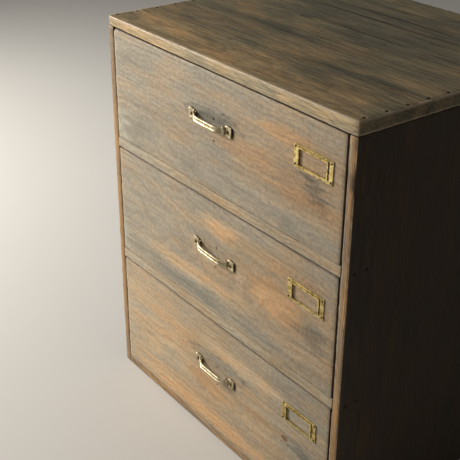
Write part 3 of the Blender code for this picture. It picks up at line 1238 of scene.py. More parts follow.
@dataclass
class Case:
    """The boards of the case, its rails and its nails."""

    body: str = "case"
    nail_pitch: float = 0.0385
    nail_first: float = 0.0155
    nail_inset: float = 0.0075
    nail_stray: float = 0.0012
    top_nail_radius: float = 0.0027
    top_nail_sunk: float = 0.0009
    corner_worn: float = 0.0012
    rail_nail_step: float = 0.011
    floor_nail_first: float = 0.03
    floor_nail_pitch: float = 0.06
    floor_nail_count: int = 8
    side_chip: tuple[float, float] = (0.60, 0.622)
    tenon_shoulder: float = 0.004
    tenon_room: float = 0.0003
    boards: list[bpy.types.Object] = field(default_factory=list)

    def top_stains(self) -> tuple[StainAndPaintedLight, ...]:
        """The worn and weathered areas of the top, from its middle."""
        return (
            StainAndPaintedLight((0.0, -0.2405, 0), (1.5, 0.0050, 1), warm=-0.02, light=0.95, soft=0.8),
            StainAndPaintedLight((-0.25, -0.2405, 0), (0.20, 0.0080, 1), warm=0.1, light=-0.3, soft=0.8),
            StainAndPaintedLight((-0.05, -0.205, 0), (0.46, 0.075, 1), warm=0.30, light=0.30),
            StainAndPaintedLight((-0.20, -0.19, 0), (0.12, 0.05, 1), warm=0.2, light=0.12),
            StainAndPaintedLight((0.05, 0.10, 0), (0.40, 0.20, 1), warm=-0.3, light=-0.1),
            StainAndPaintedLight((0.16, -0.17, 0), (0.12, 0.03, 1), warm=-0.2, light=-0.25),
            StainAndPaintedLight((0.20, -0.12, 0), (0.16, 0.02, 1), warm=-0.2, light=-0.22),
            StainAndPaintedLight((-0.02, -0.06, 0), (0.20, 0.018, 1), warm=-0.2, light=-0.25),
            StainAndPaintedLight((-0.10, 0.02, 0), (0.022, 0.008, 1), light=-0.4),
            StainAndPaintedLight((-0.02, 0.098, 0), (0.26, 0.006, 1), light=-0.6),
            StainAndPaintedLight((0.0, 0.13, 0), (0.24, 0.007, 1), light=-0.5),
            StainAndPaintedLight((0.06, 0.03, 0), (0.26, 0.006, 1), light=-0.45),
            StainAndPaintedLight((0.10, -0.04, 0), (0.22, 0.005, 1), light=-0.4),
            StainAndPaintedLight((-0.08, 0.17, 0), (0.24, 0.007, 1), light=-0.45),
            StainAndPaintedLight((-0.072, -0.158, 0), (0.009, 0.004, 1), light=-0.6),
            StainAndPaintedLight((-0.025, -0.185, 0), (0.009, 0.004, 1), light=-0.6),
        )

    def build_top(self, iron: bpy.types.Material) -> None:
        """Makes the top board with its taper, worn front edge, round corners and nails.

        Args:
            iron: The nails' material.
        """
        board = Board("top_board", self.body, TOP_WOOD, Grain.ALONG_X, Pith((0.05, -0.20, 0.62), (0, 0.03, 0.05)),
                      seed=3.0, cell=0.0075, edge=0.0010, edge_wear=0.0010, face_wear=0.0004,
                      stains_and_painted_light=self.top_stains())
        blank = board.cut_blank("top_board_aged")
        low, high = board.low, board.high
        lift = height_at("top_board", End.LEFT, False) - low.z
        blank.shift(lambda co: co.x < 0 and co.z < low.z + HAIR, (0, 0, lift))
        board.divide()
        for x in (low.x, high.x):
            blank.shift(lambda co, x=x: abs(co.x - x) < HAIR and abs(co.y - low.y) < HAIR,
                        (self.corner_worn * (1 if x < 0 else -1), self.corner_worn, 0), 0.012)
        board.age()
        rows = []
        for edge, side in ((low.x + self.nail_inset, "left"), (high.x - self.nail_inset, "right")):
            count = int((high.y - low.y - self.nail_first) / self.nail_pitch) + 1
            places = [Vector((edge + self.nail_stray * math.sin(7 * n),
                              low.y + self.nail_first + n * self.nail_pitch, high.z)) for n in range(count)]
            rows.append(NailRow(f"top_nails_{side}", places, Vector((0, 0, 1)),
                                radius=self.top_nail_radius, sunk=self.top_nail_sunk))
        for row in rows:
            row.pockets(blank)
        self.boards.append(board.dress())
        for row in rows:
            self.boards.append(row.build(self.body, iron))

    def side_board(self, word: str, pith: Pith, seed: float, stains_and_painted_light: tuple[StainAndPaintedLight, ...]) -> Board:
        """Starts a side board, with its mortises cut.

        Args:
            word: left or right.
            pith: The heart of the tree.
            seed: Moves the patterns.
            stains_and_painted_light: Its patches.

        Returns:
            The board, ready to dress.
        """
        board = Board(f"{word}_side", self.body, CASE_WOOD, Grain.ALONG_Z, pith, seed=seed, cell=0.008,
                      edge=0.0011, edge_wear=0.0012, face_wear=0.0004, stains_and_painted_light=stains_and_painted_light)
        blank = board.cut_blank(f"{word}_side_aged")
        board.divide()
        board.age()
        for rail in ("upper_rail", "lower_rail", "upper_rear_rail", "lower_rear_rail"):
            low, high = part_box(rail)
            room = Vector((self.tenon_room, self.tenon_room - self.tenon_shoulder,
                           self.tenon_room - self.tenon_shoulder))
            tool = Blank.block("mortise", low - room, high + room)
            blank.combine(tool, "DIFFERENCE")
        return board

    def build_sides(self, iron: bpy.types.Material) -> None:
        """Makes the two side boards and the nails that hold the rails and the bottom.

        Args:
            iron: The nails' material.
        """
        left = self.side_board("left", Pith((-0.42, -0.22, 0.3), (0.01, 0.01, 0)), 11.0, (
            StainAndPaintedLight((0, -0.236, 0), (1, 0.02, 0.5), warm=0.25),
        ))
        right = self.side_board("right", Pith((0.40, -0.22, 0.3), (-0.01, 0.01, 0)), 17.0, (
            StainAndPaintedLight((0.002, -0.236, 0), (0.0035, 0.012, 0.7), warm=0.35, light=0.08),
            StainAndPaintedLight((-0.006, -0.236, 0), (0.004, 0.012, 0.7), warm=-0.5, light=0.05),
        ))
        outer = right.high.x
        lower_end, upper_end = self.side_chip
        right.blank.shift(lambda co: abs(co.x - outer) < 0.002 and co.y < right.low.y + 0.002
                          and lower_end < co.z < upper_end, (-0.0022, 0.0015, 0), 0.014)
        for board, sign in ((left, -1), (right, 1)):
            edge = board.low.x if sign < 0 else board.high.x
            places = []
            for rail in ("upper_rail", "lower_rail", "upper_rear_rail", "lower_rear_rail"):
                centre = middle(rail)
                places += [Vector((edge, centre.y + step, centre.z))
                           for step in (-self.rail_nail_step, self.rail_nail_step)]
            floor = middle("bottom_board").z
            places += [Vector((edge, board.low.y + self.floor_nail_first + n * self.floor_nail_pitch, floor))
                       for n in range(self.floor_nail_count)]
            row = NailRow(f"{'left' if sign < 0 else 'right'}_side_nails", places, Vector((sign, 0, 0)))
            row.pockets(board.blank)
            self.boards.append(board.dress())
            self.boards.append(row.build(self.body, iron))

    def build_rail(self, node: str, finish: WoodFinish, seed: float, stains_and_painted_light: tuple[StainAndPaintedLight, ...] = ()) -> None:
        """Makes a rail with a stub tenon at each end.

        Args:
            node: The rail's node.
            finish: Its finish.
            seed: Moves the patterns.
            stains_and_painted_light: Its patches.
        """
        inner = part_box("left_side")[1].x + self.tenon_room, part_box("right_side")[0].x - self.tenon_room
        board = Board(node, self.body, finish, Grain.ALONG_X, Pith((0, -0.30, middle(node).z - 0.03), (0, 0.01, 0.02)),
                      seed=seed, cell=0.009, edge=0.0005, edge_wear=0.0005, face_wear=0.0002, stains_and_painted_light=stains_and_painted_light)
        low, high = board.low, board.high
        board.blank = Blank.block(f"{node}_aged", (inner[0], low.y, low.z), (inner[1], high.y, high.z))
        blank = board.blank
        with blank.editing():
            blank.pick_faces(lambda centre, normal: abs(normal.x) > 0.9)
            bpy.ops.mesh.inset(thickness=self.tenon_shoulder, use_individual=True)
        for sign in (-1, 1):
            with blank.editing():
                blank.pick_faces(lambda centre, normal, sign=sign: normal.x * sign > 0.9
                                 and abs(centre.y - (low.y + high.y) / 2) < 0.001
                                 and abs(centre.z - (low.z + high.z) / 2) < 0.001)
                reach = high.x - inner[1]
                bpy.ops.mesh.extrude_region_move(TRANSFORM_OT_translate={"value": (sign * reach, 0, 0)})
        blank.split(0, round((inner[1] - inner[0]) / board.cell))
        blank.bevel(board.edge, 2)
        blank.wear(board.face_wear, 0.04)
        self.boards.append(board.dress())

    def build_rest(self) -> None:
        """Makes the bottom board and the back boards, and dresses the hidden pieces."""
        self.boards.append(Board("bottom_board", self.body, CASE_WOOD, Grain.ALONG_X,
                                 Pith((0, 0.05, -0.09), (0, 0.02, 0.02)), seed=23.0, cell=0.010).build())
        for n, word in enumerate(("lower", "middle", "upper")):
            node = f"back_board_{word}"
            heart = middle(node) + Vector((0.02, 0.07 - 0.02 * n, 0.03 * n - 0.02))
            self.boards.append(Board(node, self.body, INNER_WOOD, Grain.ALONG_X, Pith(tuple(heart), (0, 0.02, 0.03)),
                                     seed=31.0 + 7 * n, cell=0.010).build())
        for n, node in enumerate(("upper_runner_left", "upper_runner_right", "lower_runner_left",
                                  "lower_runner_right")):
            heart = middle(node) + Vector((0.03, 0, 0.04))
            dress_node(node, INNER_WOOD, Grain.ALONG_Y, Pith(tuple(heart)), 51.0 + n)
        for n, node in enumerate(("top_drawer_stop", "middle_drawer_stop", "bottom_drawer_stop")):
            heart = middle(node) + Vector((0, 0.03, 0.02))
            dress_node(node, INNER_WOOD, Grain.ALONG_X, Pith(tuple(heart)), 61.0 + n)

    def build(self) -> None:
        """Makes the whole case."""
        iron = NAIL_IRON.make("nail_iron")
        self.build_top(iron)
        self.build_sides(iron)
        for node, seed in (("upper_rail", 41.0), ("lower_rail", 43.0)):
            self.build_rail(node, RAIL_WOOD, seed, (
                StainAndPaintedLight((0.19, -0.022, 0), (0.13, 0.02, 0.02), warm=0.25, light=-0.14),
                StainAndPaintedLight((-0.05, -0.022, 0), (0.12, 0.02, 0.02), warm=0.2),
                StainAndPaintedLight((-0.24, -0.022, 0), (0.07, 0.02, 0.02), warm=-0.3, light=0.1)))
        self.build_rail("upper_rear_rail", INNER_WOOD, 45.0)
        self.build_rail("lower_rear_rail", INNER_WOOD, 47.0)
        self.build_rest()
        log.info("case: %d pieces", len(self.boards))


# Brass fittings


@dataclass
class PullPattern:
    """The cast bow pull and its screws, made once round the origin, with the wood at y = 0."""

    screws: float = 0.0930
    foot_length: float = 0.0145
    foot_height: float = 0.0170
    foot_thick: float = 0.0022
    roll_radius: float = 0.0030
    roll_height: float = 0.0120
    roll_bite: float = 0.0008
    reach: float = 0.0135
    flat: float = 0.0500
    corner: int = 6
    height: float = 0.0094
    thick: float = 0.0020
    reed_width: float = 0.0031
    reed_rise: float = 0.0010
    steps: int = 36
    gap: float = 0.0003
    head_radius: float = 0.0031
    slot_width: float = 0.0008
    slot_depth: float = 0.0007
    head_depth: float = 0.0019
    shank: float = 0.009
    slot_turns: tuple[float, float] = (32, -48)

    @property
    def half(self) -> float:
        """Half the bow's length, to the middle of a roll."""
        return self.screws / 2 - self.foot_length / 2 - self.roll_radius + self.roll_bite

    def back(self, across: float) -> Vector:
        """Gives a point on the back of the bow.

        Args:
            across: The place from the pull's middle.

        Returns:
            The point.
        """
        rise = self.reach - self.thick - self.reed_rise - self.roll_radius
        leg = (self.half - abs(across)) / (self.half - self.flat / 2)
        share = leg / (1 + leg ** self.corner) ** (1 / self.corner)
        return Vector((across, -self.roll_radius - rise * share, 0))

    def bow(self) -> Blank:
        """Extrudes the bow's section along its line and raises the two reeds.

        Returns:
            The bow.
        """
        line = [self.back(self.half * (2 * n / self.steps - 1)) for n in range(self.steps + 1)]
        half = self.height / 2
        clear_selection()
        bpy.ops.mesh.primitive_plane_add(size=1.0, rotation=(0, math.pi / 2, 0))
        bpy.context.object.scale = (self.height, self.thick, 1.0)
        blank = Blank.fresh("bow_pattern")
        inner = half - self.reed_width
        blank.slice_at(2, (-inner, inner))
        with blank.editing():
            bpy.ops.mesh.select_all(action="SELECT")
            start = (line[1] - line[0]).normalized()
            lean = math.atan2(start.y, start.x)
            bpy.ops.transform.translate(value=line[0] + Vector((0, -self.thick / 2, 0)))
            self.turn_selection(lean, line[0])
            for n in range(1, len(line)):
                after = line[min(n + 1, len(line) - 1)]
                ahead = math.atan2((after - line[n - 1]).y, (after - line[n - 1]).x)
                bpy.ops.mesh.extrude_region_move(TRANSFORM_OT_translate={"value": line[n] - line[n - 1]})
                self.turn_selection(ahead - lean, line[n])
                lean = ahead
            bpy.ops.mesh.select_all(action="SELECT")
            bpy.ops.mesh.normals_make_consistent(inside=False)
        self.raise_reeds(blank, inner)
        return blank

    @staticmethod
    def turn_selection(angle: float, centre: Vector) -> None:
        """Turns the selected vertices about an upright axis, in edit mode.

        Args:
            angle: The angle, in radians, to the left seen from above.
            centre: The axis's place.
        """
        if abs(angle) > HAIR:
            bpy.ops.transform.rotate(value=-angle, orient_axis="Z", center_override=centre)

    def raise_reeds(self, blank: Blank, inner: float) -> None:
        """Raises a reed along each edge of the bow's outer face and rounds it.

        Args:
            blank: The bow.
            inner: How far from the middle the reeds begin.
        """
        for sign in (-1, 1):
            with blank.editing():
                blank.pick_faces(lambda centre, normal, sign=sign: normal.y < -0.3
                                 and centre.z * sign > inner and abs(normal.z) < 0.3)
                bpy.ops.mesh.inset(thickness=self.reed_width * 0.16, depth=self.reed_rise * 0.62)
                bpy.ops.mesh.inset(thickness=self.reed_width * 0.17, depth=self.reed_rise * 0.38)
        blank.bevel(0.00022, 2, 25)

    def foot(self, sign: int) -> Blank:
        """Makes one foot with its roll and its countersunk hole.

        Args:
            sign: -1 for the left foot and 1 for the right one.

        Returns:
            The foot.
        """
        centre = Vector((sign * self.screws / 2, -self.gap - self.foot_thick / 2, 0))
        size = Vector((self.foot_length, self.foot_thick, self.foot_height)) / 2
        foot = Blank.block("foot_pattern", centre - size, centre + size)
        foot.bevel(0.0005, 3)
        place = Vector((sign * self.half, -self.roll_radius - self.gap, 0))
        roll = Blank.rod("roll_pattern", place, self.roll_height, self.roll_radius, 28)
        with roll.editing():
            roll.pick_faces(lambda centre, normal: abs(normal.z) > 0.9)
            bpy.ops.mesh.inset(thickness=self.roll_radius * 0.36, use_individual=True)
            bpy.ops.mesh.inset(thickness=self.roll_radius * 0.08, depth=-0.0011, use_individual=True)
        roll.bevel(0.00025, 2, 50)
        foot.combine(roll, "UNION")
        hole = Blank.rod("hole_pattern", (sign * self.screws / 2, 0, 0), 0.02, self.head_radius * 0.62, 24,
                         (math.pi / 2, 0, 0))
        foot.combine(hole, "DIFFERENCE")
        clear_selection()
        bpy.ops.mesh.primitive_cone_add(
            vertices=28, radius1=self.head_radius * 0.5, radius2=self.head_radius * 1.1, depth=self.foot_thick,
            location=(sign * self.screws / 2, -self.gap - self.foot_thick * 0.62, 0),
            rotation=(math.pi / 2, 0, 0))
        foot.combine(Blank.fresh("sink_pattern"), "DIFFERENCE")
        return foot

    def screw(self, slot_turn: float) -> Blank:
        """Makes a slotted screw head with its countersunk shank.

        Args:
            slot_turn: The slot's angle, in degrees.

        Returns:
            The screw, at the origin.
        """
        face = -self.gap - self.foot_thick
        clear_selection()
        bpy.ops.mesh.primitive_cone_add(
            vertices=28, radius1=self.head_radius * 0.45, radius2=self.head_radius, depth=self.head_depth,
            location=(0, face + self.head_depth / 2, 0), rotation=(math.pi / 2, 0, 0))
        screw = Blank.fresh("screw_pattern")
        with screw.editing():
            screw.pick_faces(lambda centre, normal: normal.y < -0.9)
            bpy.ops.mesh.inset(thickness=self.head_radius * 0.25, depth=0.00028)
            bpy.ops.mesh.inset(thickness=self.head_radius * 0.3, depth=0.00016)
            screw.pick_faces(lambda centre, normal: normal.y > 0.9)
            bpy.ops.mesh.extrude_region_move(TRANSFORM_OT_translate={"value": (0, self.shank, 0)})
        slot = Blank.block("slot_pattern", (-0.01, face - self.slot_depth, -self.slot_width / 2),
                           (0.01, face + self.slot_depth * 0.5, self.slot_width / 2))
        slot.obj.data.transform(Matrix.Rotation(math.radians(slot_turn), 4, "Y"))
        screw.combine(slot, "DIFFERENCE")
        return screw

    def build(self) -> tuple[Blank, Blank, Blank]:
        """Makes the patterns.

        Returns:
            The pull and its left and right screws.
        """
        pull = self.bow()
        for sign in (-1, 1):
            pull.combine(self.foot(sign), "UNION")
        pull.wear(0.00008, 0.012)
        pull.smooth(40)
        left, right = self.slot_turns
        return pull, self.screw(left), self.screw(right)


@dataclass
class LabelPattern:
    """The pressed brass label frame and one pin, made once round the origin."""

    width: float = 0.0780
    height: float = 0.0350
    side: float = 0.0110
    strip: float = 0.0055
    sheet: float = 0.0007
    lip: float = 0.0014
    hem: float = 0.0021
    gap: float = 0.0003
    pin_inset_x: float = 0.0031
    pin_inset_z: float = 0.0041
    pin_radius: float = 0.0015
    hole_radius: float = 0.0010

    def frame(self) -> Blank:
        """Makes the sheet with its window and the folded lip round it.

        Returns:
            The frame.
        """
        wide, high = self.width / 2 - self.side, self.height / 2 - self.strip
        plate = Blank.sheet("label_pattern", self.width, self.height)
        plate.slice_at(0, (-wide, wide))
        plate.slice_at(2, (-high, high))
        with plate.editing():
            plate.pick_faces(lambda centre, normal: abs(centre.x) < wide and abs(centre.z) < high)
            bpy.ops.mesh.delete(type="FACE")
        with plate.editing():
            plate.pick_edges(lambda a, b: max(abs(a.x), abs(b.x)) < wide + HAIR
                             and max(abs(a.z), abs(b.z)) < high + HAIR)
            bpy.ops.mesh.extrude_edges_move(TRANSFORM_OT_translate={"value": (0, -self.lip, 0)})
            bpy.ops.mesh.extrude_edges_move(TRANSFORM_OT_translate={"value": (0, 0, 0)})
            bpy.ops.transform.resize(value=((wide + self.hem) / wide, 1, (high + self.hem) / high),
                                     center_override=(0, -self.lip, 0))
        plate.apply("SOLIDIFY", thickness=self.sheet, offset=0.0)
        plate.bevel(0.00018, 2, 35)
        plate.split(0, 8)
        plate.obj.data.transform(Matrix.Translation((0, -self.gap - self.sheet / 2 - 0.0001, 0)))
        for row in (-1, 1):
            for end in (-1, 1):
                place = Vector((end * (self.width / 2 - self.pin_inset_x), 0,
                                row * (self.height / 2 - self.pin_inset_z)))
                plate.combine(Blank.rod("pin_hole", place, 0.01, self.hole_radius, 16, (math.pi / 2, 0, 0)),
                              "DIFFERENCE")
        plate.wear(0.00012, 0.006)
        plate.smooth(35)
        return plate

    def pin(self) -> Blank:
        """Makes a small round-headed pin at the origin.

        Returns:
            The pin.
        """
        face = -self.gap - self.sheet - 0.0002
        pin = Blank.rod("pin_pattern", (0, face - 0.0002, 0), 0.0004, self.pin_radius, 20, (math.pi / 2, 0, 0))
        with pin.editing():
            pin.pick_faces(lambda centre, normal: normal.y < -0.9)
            bpy.ops.mesh.inset(thickness=self.pin_radius * 0.3, depth=0.00025)
            bpy.ops.mesh.inset(thickness=self.pin_radius * 0.35, depth=0.00012)
            pin.pick_faces(lambda centre, normal: normal.y > 0.9)
            bpy.ops.mesh.inset(thickness=self.pin_radius * 0.5)
            bpy.ops.mesh.extrude_region_move(TRANSFORM_OT_translate={"value": (0, 0.006, 0)})
        pin.smooth(50)
        return pin


# Drawers


@dataclass
class Drawer:
    """One drawer: its front, its box and its brass fittings."""

    name: str
    seed: float
    pith: Pith
    stains_and_painted_light: tuple[StainAndPaintedLight, ...]
    old_holes: tuple[tuple[float, float], ...]
    hole_radius: float = 0.0018
    hole_depth: float = 0.011
    groove_rise: float = 0.0097
    groove_high: float = 0.0056
    groove_depth: float = 0.004
    corner_chip: float = 0.0
    # Sizes of the dark patch round each pull foot, grime and painted contact shadow, and of the dark worn top-left
    # corner, partly painted shade.
    foot_grime_and_shadow: Triple = (0.0115, 1.0, 0.0124)
    corner_notch_and_shade: Triple = (0.007, 1.0, 0.0045)

    def wear_and_shade_marks(self) -> tuple[StainAndPaintedLight, ...]:
        """The marks that every front has, from the middle of the front: painted shade along the top edge and at the
        right end, a worn top-left corner darkened partly as painted shade, and grime round the pull's feet set off to
        the right as a painted contact shadow.
        """
        low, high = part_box(self.node("drawer_front"))
        centre = (low + high) / 2
        # Painted shade: a dark band along the top edge, under the rail.
        marks = [StainAndPaintedLight((0.0, 0, high.z - centre.z), (3.0, 1, 0.0034), warm=0.3, light=-0.66, soft=0.6),
                 # Painted shade: the right end darker, where the light falls off.
                 StainAndPaintedLight((0.27, 0, 0), (0.17, 1, 0.25), light=-0.15),
                 # Worn top-left corner, darkened partly as painted shade.
                 StainAndPaintedLight((low.x, 0, high.z - centre.z), self.corner_notch_and_shade, light=-0.7)]
        for word in ("left", "right"):
            foot = middle(self.node(f"pull_screw_{word}")) - centre
            # Grime round each pull foot, set to the right as a painted contact shadow.
            marks.append(StainAndPaintedLight((foot.x + 0.0018, 0, foot.z), self.foot_grime_and_shadow, light=-0.75, soft=0.35))
        return tuple(marks)

    @property
    def body(self) -> str:
        """The body that the drawer's pieces ride on."""
        return f"{self.name}_drawer"

    def node(self, part: str) -> str:
        """Names a node of this drawer.

        Args:
            part: The part.

        Returns:
            The node's name.
        """
        return f"{self.name}_{part}"

    def build_front(self) -> None:
        """Makes the front with its groove, its old screw holes and its worn edges."""
        node = self.node("drawer_front")
        board = Board(node, self.body, FRONT_WOOD, Grain.ALONG_X, self.pith, seed=self.seed, cell=0.0065,
                      edge=0.0010, edge_wear=0.0009, face_wear=0.0004, stains_and_painted_light=self.stains_and_painted_light + self.wear_and_shade_marks())
        blank = board.cut_blank(f"{node}_aged")
        low, high = board.low, board.high
        drop = height_at(node, End.RIGHT, True) - high.z
        if abs(drop) > 0.0005:
            blank.shift(lambda co: co.x > 0 and co.z > high.z - HAIR, (0, 0, drop))
        board.divide()
        if self.corner_chip:
            blank.shift(lambda co: co.x < low.x + 0.003 and co.z > high.z - 0.003 and co.y < low.y + HAIR,
                        (self.corner_chip * 0.6, self.corner_chip * 0.8, -self.corner_chip), 0.008)
        board.age()
        groove = Blank.block("groove", (low.x - 0.01, high.y - self.groove_depth, low.z + self.groove_rise),
                             (high.x + 0.01, high.y + 0.01, low.z + self.groove_rise + self.groove_high))
        blank.combine(groove, "DIFFERENCE")
        for across, up in self.old_holes:
            place = Vector((across, low.y, up))
            blank.combine(Blank.rod("old_hole", place, 2 * self.hole_depth, self.hole_radius, 16,
                                    (math.pi / 2, 0, 0)), "DIFFERENCE")
        board.dress()

    def build_box(self) -> None:
        """Dresses the box behind the front."""
        for n, (part, grain) in enumerate((("drawer_side_left", Grain.ALONG_Y), ("drawer_side_right", Grain.ALONG_Y),
                                           ("drawer_bottom", Grain.ALONG_X), ("drawer_back", Grain.ALONG_X))):
            node = self.node(part)
            heart = middle(node) + Vector((0.06, 0.05, 0.02 * n - 0.07))
            dress_node(node, INNER_WOOD, grain, Pith(tuple(heart), (0.01, 0.02, 0.01)), self.seed + 3.0 * n)

    def between(self, first: str, second: str) -> Matrix:
        """Finds where a fitting sits from the two fasteners at its ends.

        Args:
            first: The left fastener's part name.
            second: The right fastener's part name.

        Returns:
            The movement from the pattern to its place on the front.
        """
        left, right = middle(self.node(first)), middle(self.node(second))
        centre = (left + right) / 2
        centre.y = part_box(self.node("drawer_front"))[0].y
        tilt = math.atan2(right.z - left.z, right.x - left.x)
        return Matrix.Translation(centre) @ Matrix.Rotation(-tilt, 4, "Y")

    def fit_pull(self, patterns: tuple[Blank, Blank, Blank], pull: PullPattern,
                 brass: bpy.types.Material, screw_brass: bpy.types.Material) -> None:
        """Screws the pull on.

        Args:
            patterns: The pull and its two screws.
            pull: The pull's sizes.
            brass: The pull's material.
            screw_brass: The screws' material.
        """
        place = self.between("pull_screw_left", "pull_screw_right")
        cast = patterns[0].copy(self.node("pull_cast"), place)
        cast.hand_over(self.body, PULL_BRASS.slot, brass, [self.node("pull")])
        for pattern, word, sign in ((patterns[1], "left", -1), (patterns[2], "right", 1)):
            at = place @ Matrix.Translation((sign * pull.screws / 2, 0, 0))
            screw = pattern.copy(self.node(f"pull_screw_{word}_turned"), at)
            screw.smooth(40)
            screw.hand_over(self.body, SCREW_BRASS.slot, screw_brass, [self.node(f"pull_screw_{word}")])

    def fit_label(self, plate: Blank, pin: Blank, brass: bpy.types.Material,
                  pin_brass: bpy.types.Material) -> None:
        """Pins the label frame on.

        Args:
            plate: The frame's pattern.
            pin: The pin's pattern.
            brass: The frame's material.
            pin_brass: The pins' material.
        """
        upper = self.between("label_pin_upper_left", "label_pin_upper_right")
        lower = self.between("label_pin_lower_left", "label_pin_lower_right")
        place = upper.copy()
        place.translation = (upper.translation + lower.translation) / 2
        plate.copy(self.node("label_frame_pressed"), place).hand_over(
            self.body, LABEL_BRASS.slot, brass, [self.node("label_frame")])
        for word in ("upper_left", "upper_right", "lower_left", "lower_right"):
            node = self.node(f"label_pin_{word}")
            at = middle(node)
            at.y = place.translation.y
            pin.copy(f"{node}_round", Matrix.Translation(at)).hand_over(
                self.body, SCREW_BRASS.slot, pin_brass, [node])


@dataclass
class Fittings:
    """The patterns and brasses that the three drawers share."""

    pull: PullPattern = field(default_factory=PullPattern)
    label: LabelPattern = field(default_factory=LabelPattern)

    def fit(self, drawers: Sequence[Drawer]) -> None:
        """Makes the patterns, fits a copy to each drawer and removes them.

        Args:
            drawers: The drawers.
        """
        patterns = self.pull.build()
        plate, pin = self.label.frame(), self.label.pin()
        cast, label, small = (PULL_BRASS.make("pull_brass"), LABEL_BRASS.make("label_brass"),
                              SCREW_BRASS.make("screw_brass"))
        for drawer in drawers:
            drawer.fit_pull(patterns, self.pull, cast, small)
            drawer.fit_label(plate, pin, label, small)
        for pattern in (*patterns, plate, pin):
            pattern.discard()


def front_drawers() -> list[Drawer]:
    """Lists the three drawers with the marks that each front carries.

    Returns:
        The drawers, from the top one down.
    """
    top = Drawer("top", 2.0, Pith((0.0, -0.17, 0.50), (0, 0.05, -0.03)), (
        StainAndPaintedLight((0.20, 0, 0.02), (0.30, 1, 0.10), warm=0.30, light=-0.02),
        StainAndPaintedLight((0.17, 0, 0.052), (0.07, 1, 0.018), warm=0.45, light=0.1),
        StainAndPaintedLight((0.20, 0, -0.028), (0.10, 1, 0.016), warm=0.45, light=0.05),
        StainAndPaintedLight((-0.26, 0, 0.0), (0.16, 1, 0.16), warm=-0.15, light=0.0),
        StainAndPaintedLight((0.0, 0, -0.02), (0.33, 1, 0.05), light=-0.10),
        StainAndPaintedLight((0.0, 0, -0.085), (0.40, 1, 0.04), warm=-0.15, light=0.0),
        StainAndPaintedLight((0.228, 0, -0.01), (0.034, 1, 0.036), warm=-0.2, light=-0.34),
        # Painted sheen: a cold, light patch low at the left end.
        StainAndPaintedLight((-0.268, 0, -0.075), (0.034, 1, 0.045), warm=-0.5, light=0.55),
        StainAndPaintedLight((-0.003, 0, 0.022), (0.085, 1, 0.021), warm=-0.35, light=-0.36),
        StainAndPaintedLight((-0.003, 0, 0.023), (0.076, 1, 0.0135), light=-0.32, rim=True),
    ), ((-0.0025, 0.602), (-0.0023, 0.5674)), corner_chip=0.0025)
    center = Drawer("middle", 7.0, Pith((0.0, -0.14, 0.36), (0, 0.09, 0.05)), (
        StainAndPaintedLight((0.20, 0, 0.0), (0.30, 1, 0.12), warm=0.35, light=-0.03),
        StainAndPaintedLight((0.01, 0, 0.058), (0.06, 1, 0.024), warm=0.35, light=0.34),
        StainAndPaintedLight((0.15, 0, -0.008), (0.07, 1, 0.038), warm=0.4, light=0.26),
        StainAndPaintedLight((-0.08, 0, -0.05), (0.22, 1, 0.020), warm=0.3, light=0.26),
        StainAndPaintedLight((0.0, 0, -0.082), (0.36, 1, 0.022), warm=-0.3, light=-0.08),
        StainAndPaintedLight((0.235, 0, -0.02), (0.050, 1, 0.030), warm=-0.2, light=-0.30),
        # Painted sheen: a cold, light patch low at the left end.
        StainAndPaintedLight((-0.278, 0, -0.07), (0.024, 1, 0.05), warm=-0.5, light=0.45),
        StainAndPaintedLight((-0.22, 0, 0.0), (0.12, 1, 0.12), warm=-0.15),
    ), ((0.003, 0.385), (0.0016, 0.3497)))
    bottom = Drawer("bottom", 13.0, Pith((0.0, -0.19, 0.10), (0, -0.03, 0.04)), (
        StainAndPaintedLight((0.0, 0, 0.0), (0.34, 1, 0.12), warm=0.18, light=0.04),
        StainAndPaintedLight((0.08, 0, 0.062), (0.15, 1, 0.020), warm=0.2, light=0.34),
        StainAndPaintedLight((-0.05, 0, -0.095), (0.36, 1, 0.028), warm=0.30, light=0.22),
        StainAndPaintedLight((-0.02, 0, -0.02), (0.12, 1, 0.03), warm=0.3, light=0.03),
        StainAndPaintedLight((0.01, 0, 0.035), (0.10, 1, 0.018), warm=-0.2, light=-0.14),
        StainAndPaintedLight((0.005, 0, 0.033), (0.085, 1, 0.0135), light=-0.3, rim=True),
        StainAndPaintedLight((0.185, 0, -0.0075), (0.011, 1, 0.007), warm=0.6, light=-0.5, soft=0.6),
        StainAndPaintedLight((0.185, 0, -0.0075), (0.024, 1, 0.013), light=-0.3, rim=True),
        StainAndPaintedLight((0.225, 0, -0.01), (0.04, 1, 0.03), warm=-0.35, light=-0.14),
        StainAndPaintedLight((-0.22, 0, 0.0), (0.20, 1, 0.15), warm=0.05, light=0.20),
    ), ((0.0043, 0.1547), (0.0046, 0.1175)))
    return [top, center, bottom]


# Studio


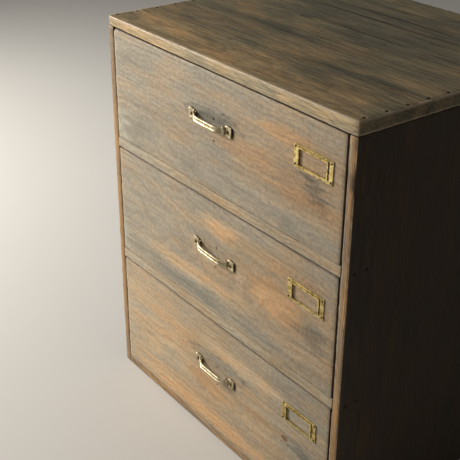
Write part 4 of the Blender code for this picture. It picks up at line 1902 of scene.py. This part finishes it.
@dataclass
class Studio:
    """The plain pale floor, the soft lights and the camera."""

    floor_size: float = 14.0
    floor_color: Color = tone(206, 203, 197)
    key_place: Triple = (-2.3, -1.35, 1.35)
    key_size: float = 0.6
    key_power: float = 104.0
    key_color: Color = (1.0, 0.97, 0.92)
    fill_place: Triple = (-0.6, -2.6, 2.8)
    fill_size: float = 2.2
    fill_power: float = 12.0
    fill_color: Color = (1.0, 0.98, 0.95)
    world_color: Color = (1.0, 0.96, 0.91)
    world_strength: float = 0.13
    camera_place: Triple = (1.08553, -1.03460, 1.12958)
    camera_forward: Triple = (-0.70364, 0.53426, -0.46846)
    camera_roll: float = 0.2363
    lens: float = 75.606
    aim: Triple = (0.0, 0.0, 0.42)

    def lay_floor(self) -> None:
        """Lays a floor with a very soft cast, a hair under the cabinet."""
        clear_selection()
        bpy.ops.mesh.primitive_plane_add(size=self.floor_size, location=(0, 0, -0.0002))
        floor = bpy.context.object
        floor.name = "studio_floor"
        graph = Graph("studio_floor")
        cloud = graph.noise(graph.place, 1.4, 3.0, 0.6)
        darker = tuple(0.93 * part for part in self.floor_color)
        graph.links.new(graph.mix(cloud, self.floor_color, darker), graph.shader.inputs["Base Color"])
        graph.shader.inputs["Roughness"].default_value = 0.75
        floor.data.materials.append(graph.material)

    def hang_light(self, name: str, place: Triple, size: float, power: float, color: Color) -> None:
        """Hangs a soft square light that points at the cabinet.

        Args:
            name: The light's name.
            place: Its place.
            size: Its size.
            power: Its power, in watts.
            color: Its colour.
        """
        data = bpy.data.lights.new(name, "AREA")
        data.size = size
        data.energy = power
        data.color = color
        light = bpy.data.objects.new(name, data)
        light.location = place
        light.rotation_euler = (Vector(self.aim) - Vector(place)).to_track_quat("-Z", "Y").to_euler()
        bpy.context.scene.collection.objects.link(light)

    def set_camera(self) -> None:
        """Sets up the camera."""
        data = bpy.data.cameras.new("camera")
        data.lens = self.lens
        camera = bpy.data.objects.new("camera", data)
        turn = Vector(self.camera_forward).to_track_quat("-Z", "Y").to_matrix().to_4x4()
        roll = Matrix.Rotation(math.radians(self.camera_roll), 4, "Z")
        camera.matrix_world = Matrix.Translation(self.camera_place) @ turn @ roll
        bpy.context.scene.collection.objects.link(camera)
        bpy.context.scene.camera = camera

    def build(self) -> None:
        """Sets up the whole studio."""
        self.lay_floor()
        self.hang_light("key", self.key_place, self.key_size, self.key_power, self.key_color)
        self.hang_light("fill", self.fill_place, self.fill_size, self.fill_power, self.fill_color)
        world = bpy.data.worlds.new("studio")
        world.use_nodes = True
        background = world.node_tree.nodes["Background"]
        background.inputs[0].default_value = (*self.world_color, 1.0)
        background.inputs[1].default_value = self.world_strength
        bpy.context.scene.world = world
        self.set_camera()
        bpy.context.scene.view_settings.view_transform = "Standard"


def main() -> None:
    """Builds the cabinet and the studio round it."""
    logging.basicConfig(level=logging.INFO, format="%(name)s: %(message)s")
    Studio().build()
    Case().build()
    drawers = front_drawers()
    for drawer in drawers:
        drawer.build_front()
        drawer.build_box()
    Fittings().fit(drawers)


if __name__ == "__main__":
    main()
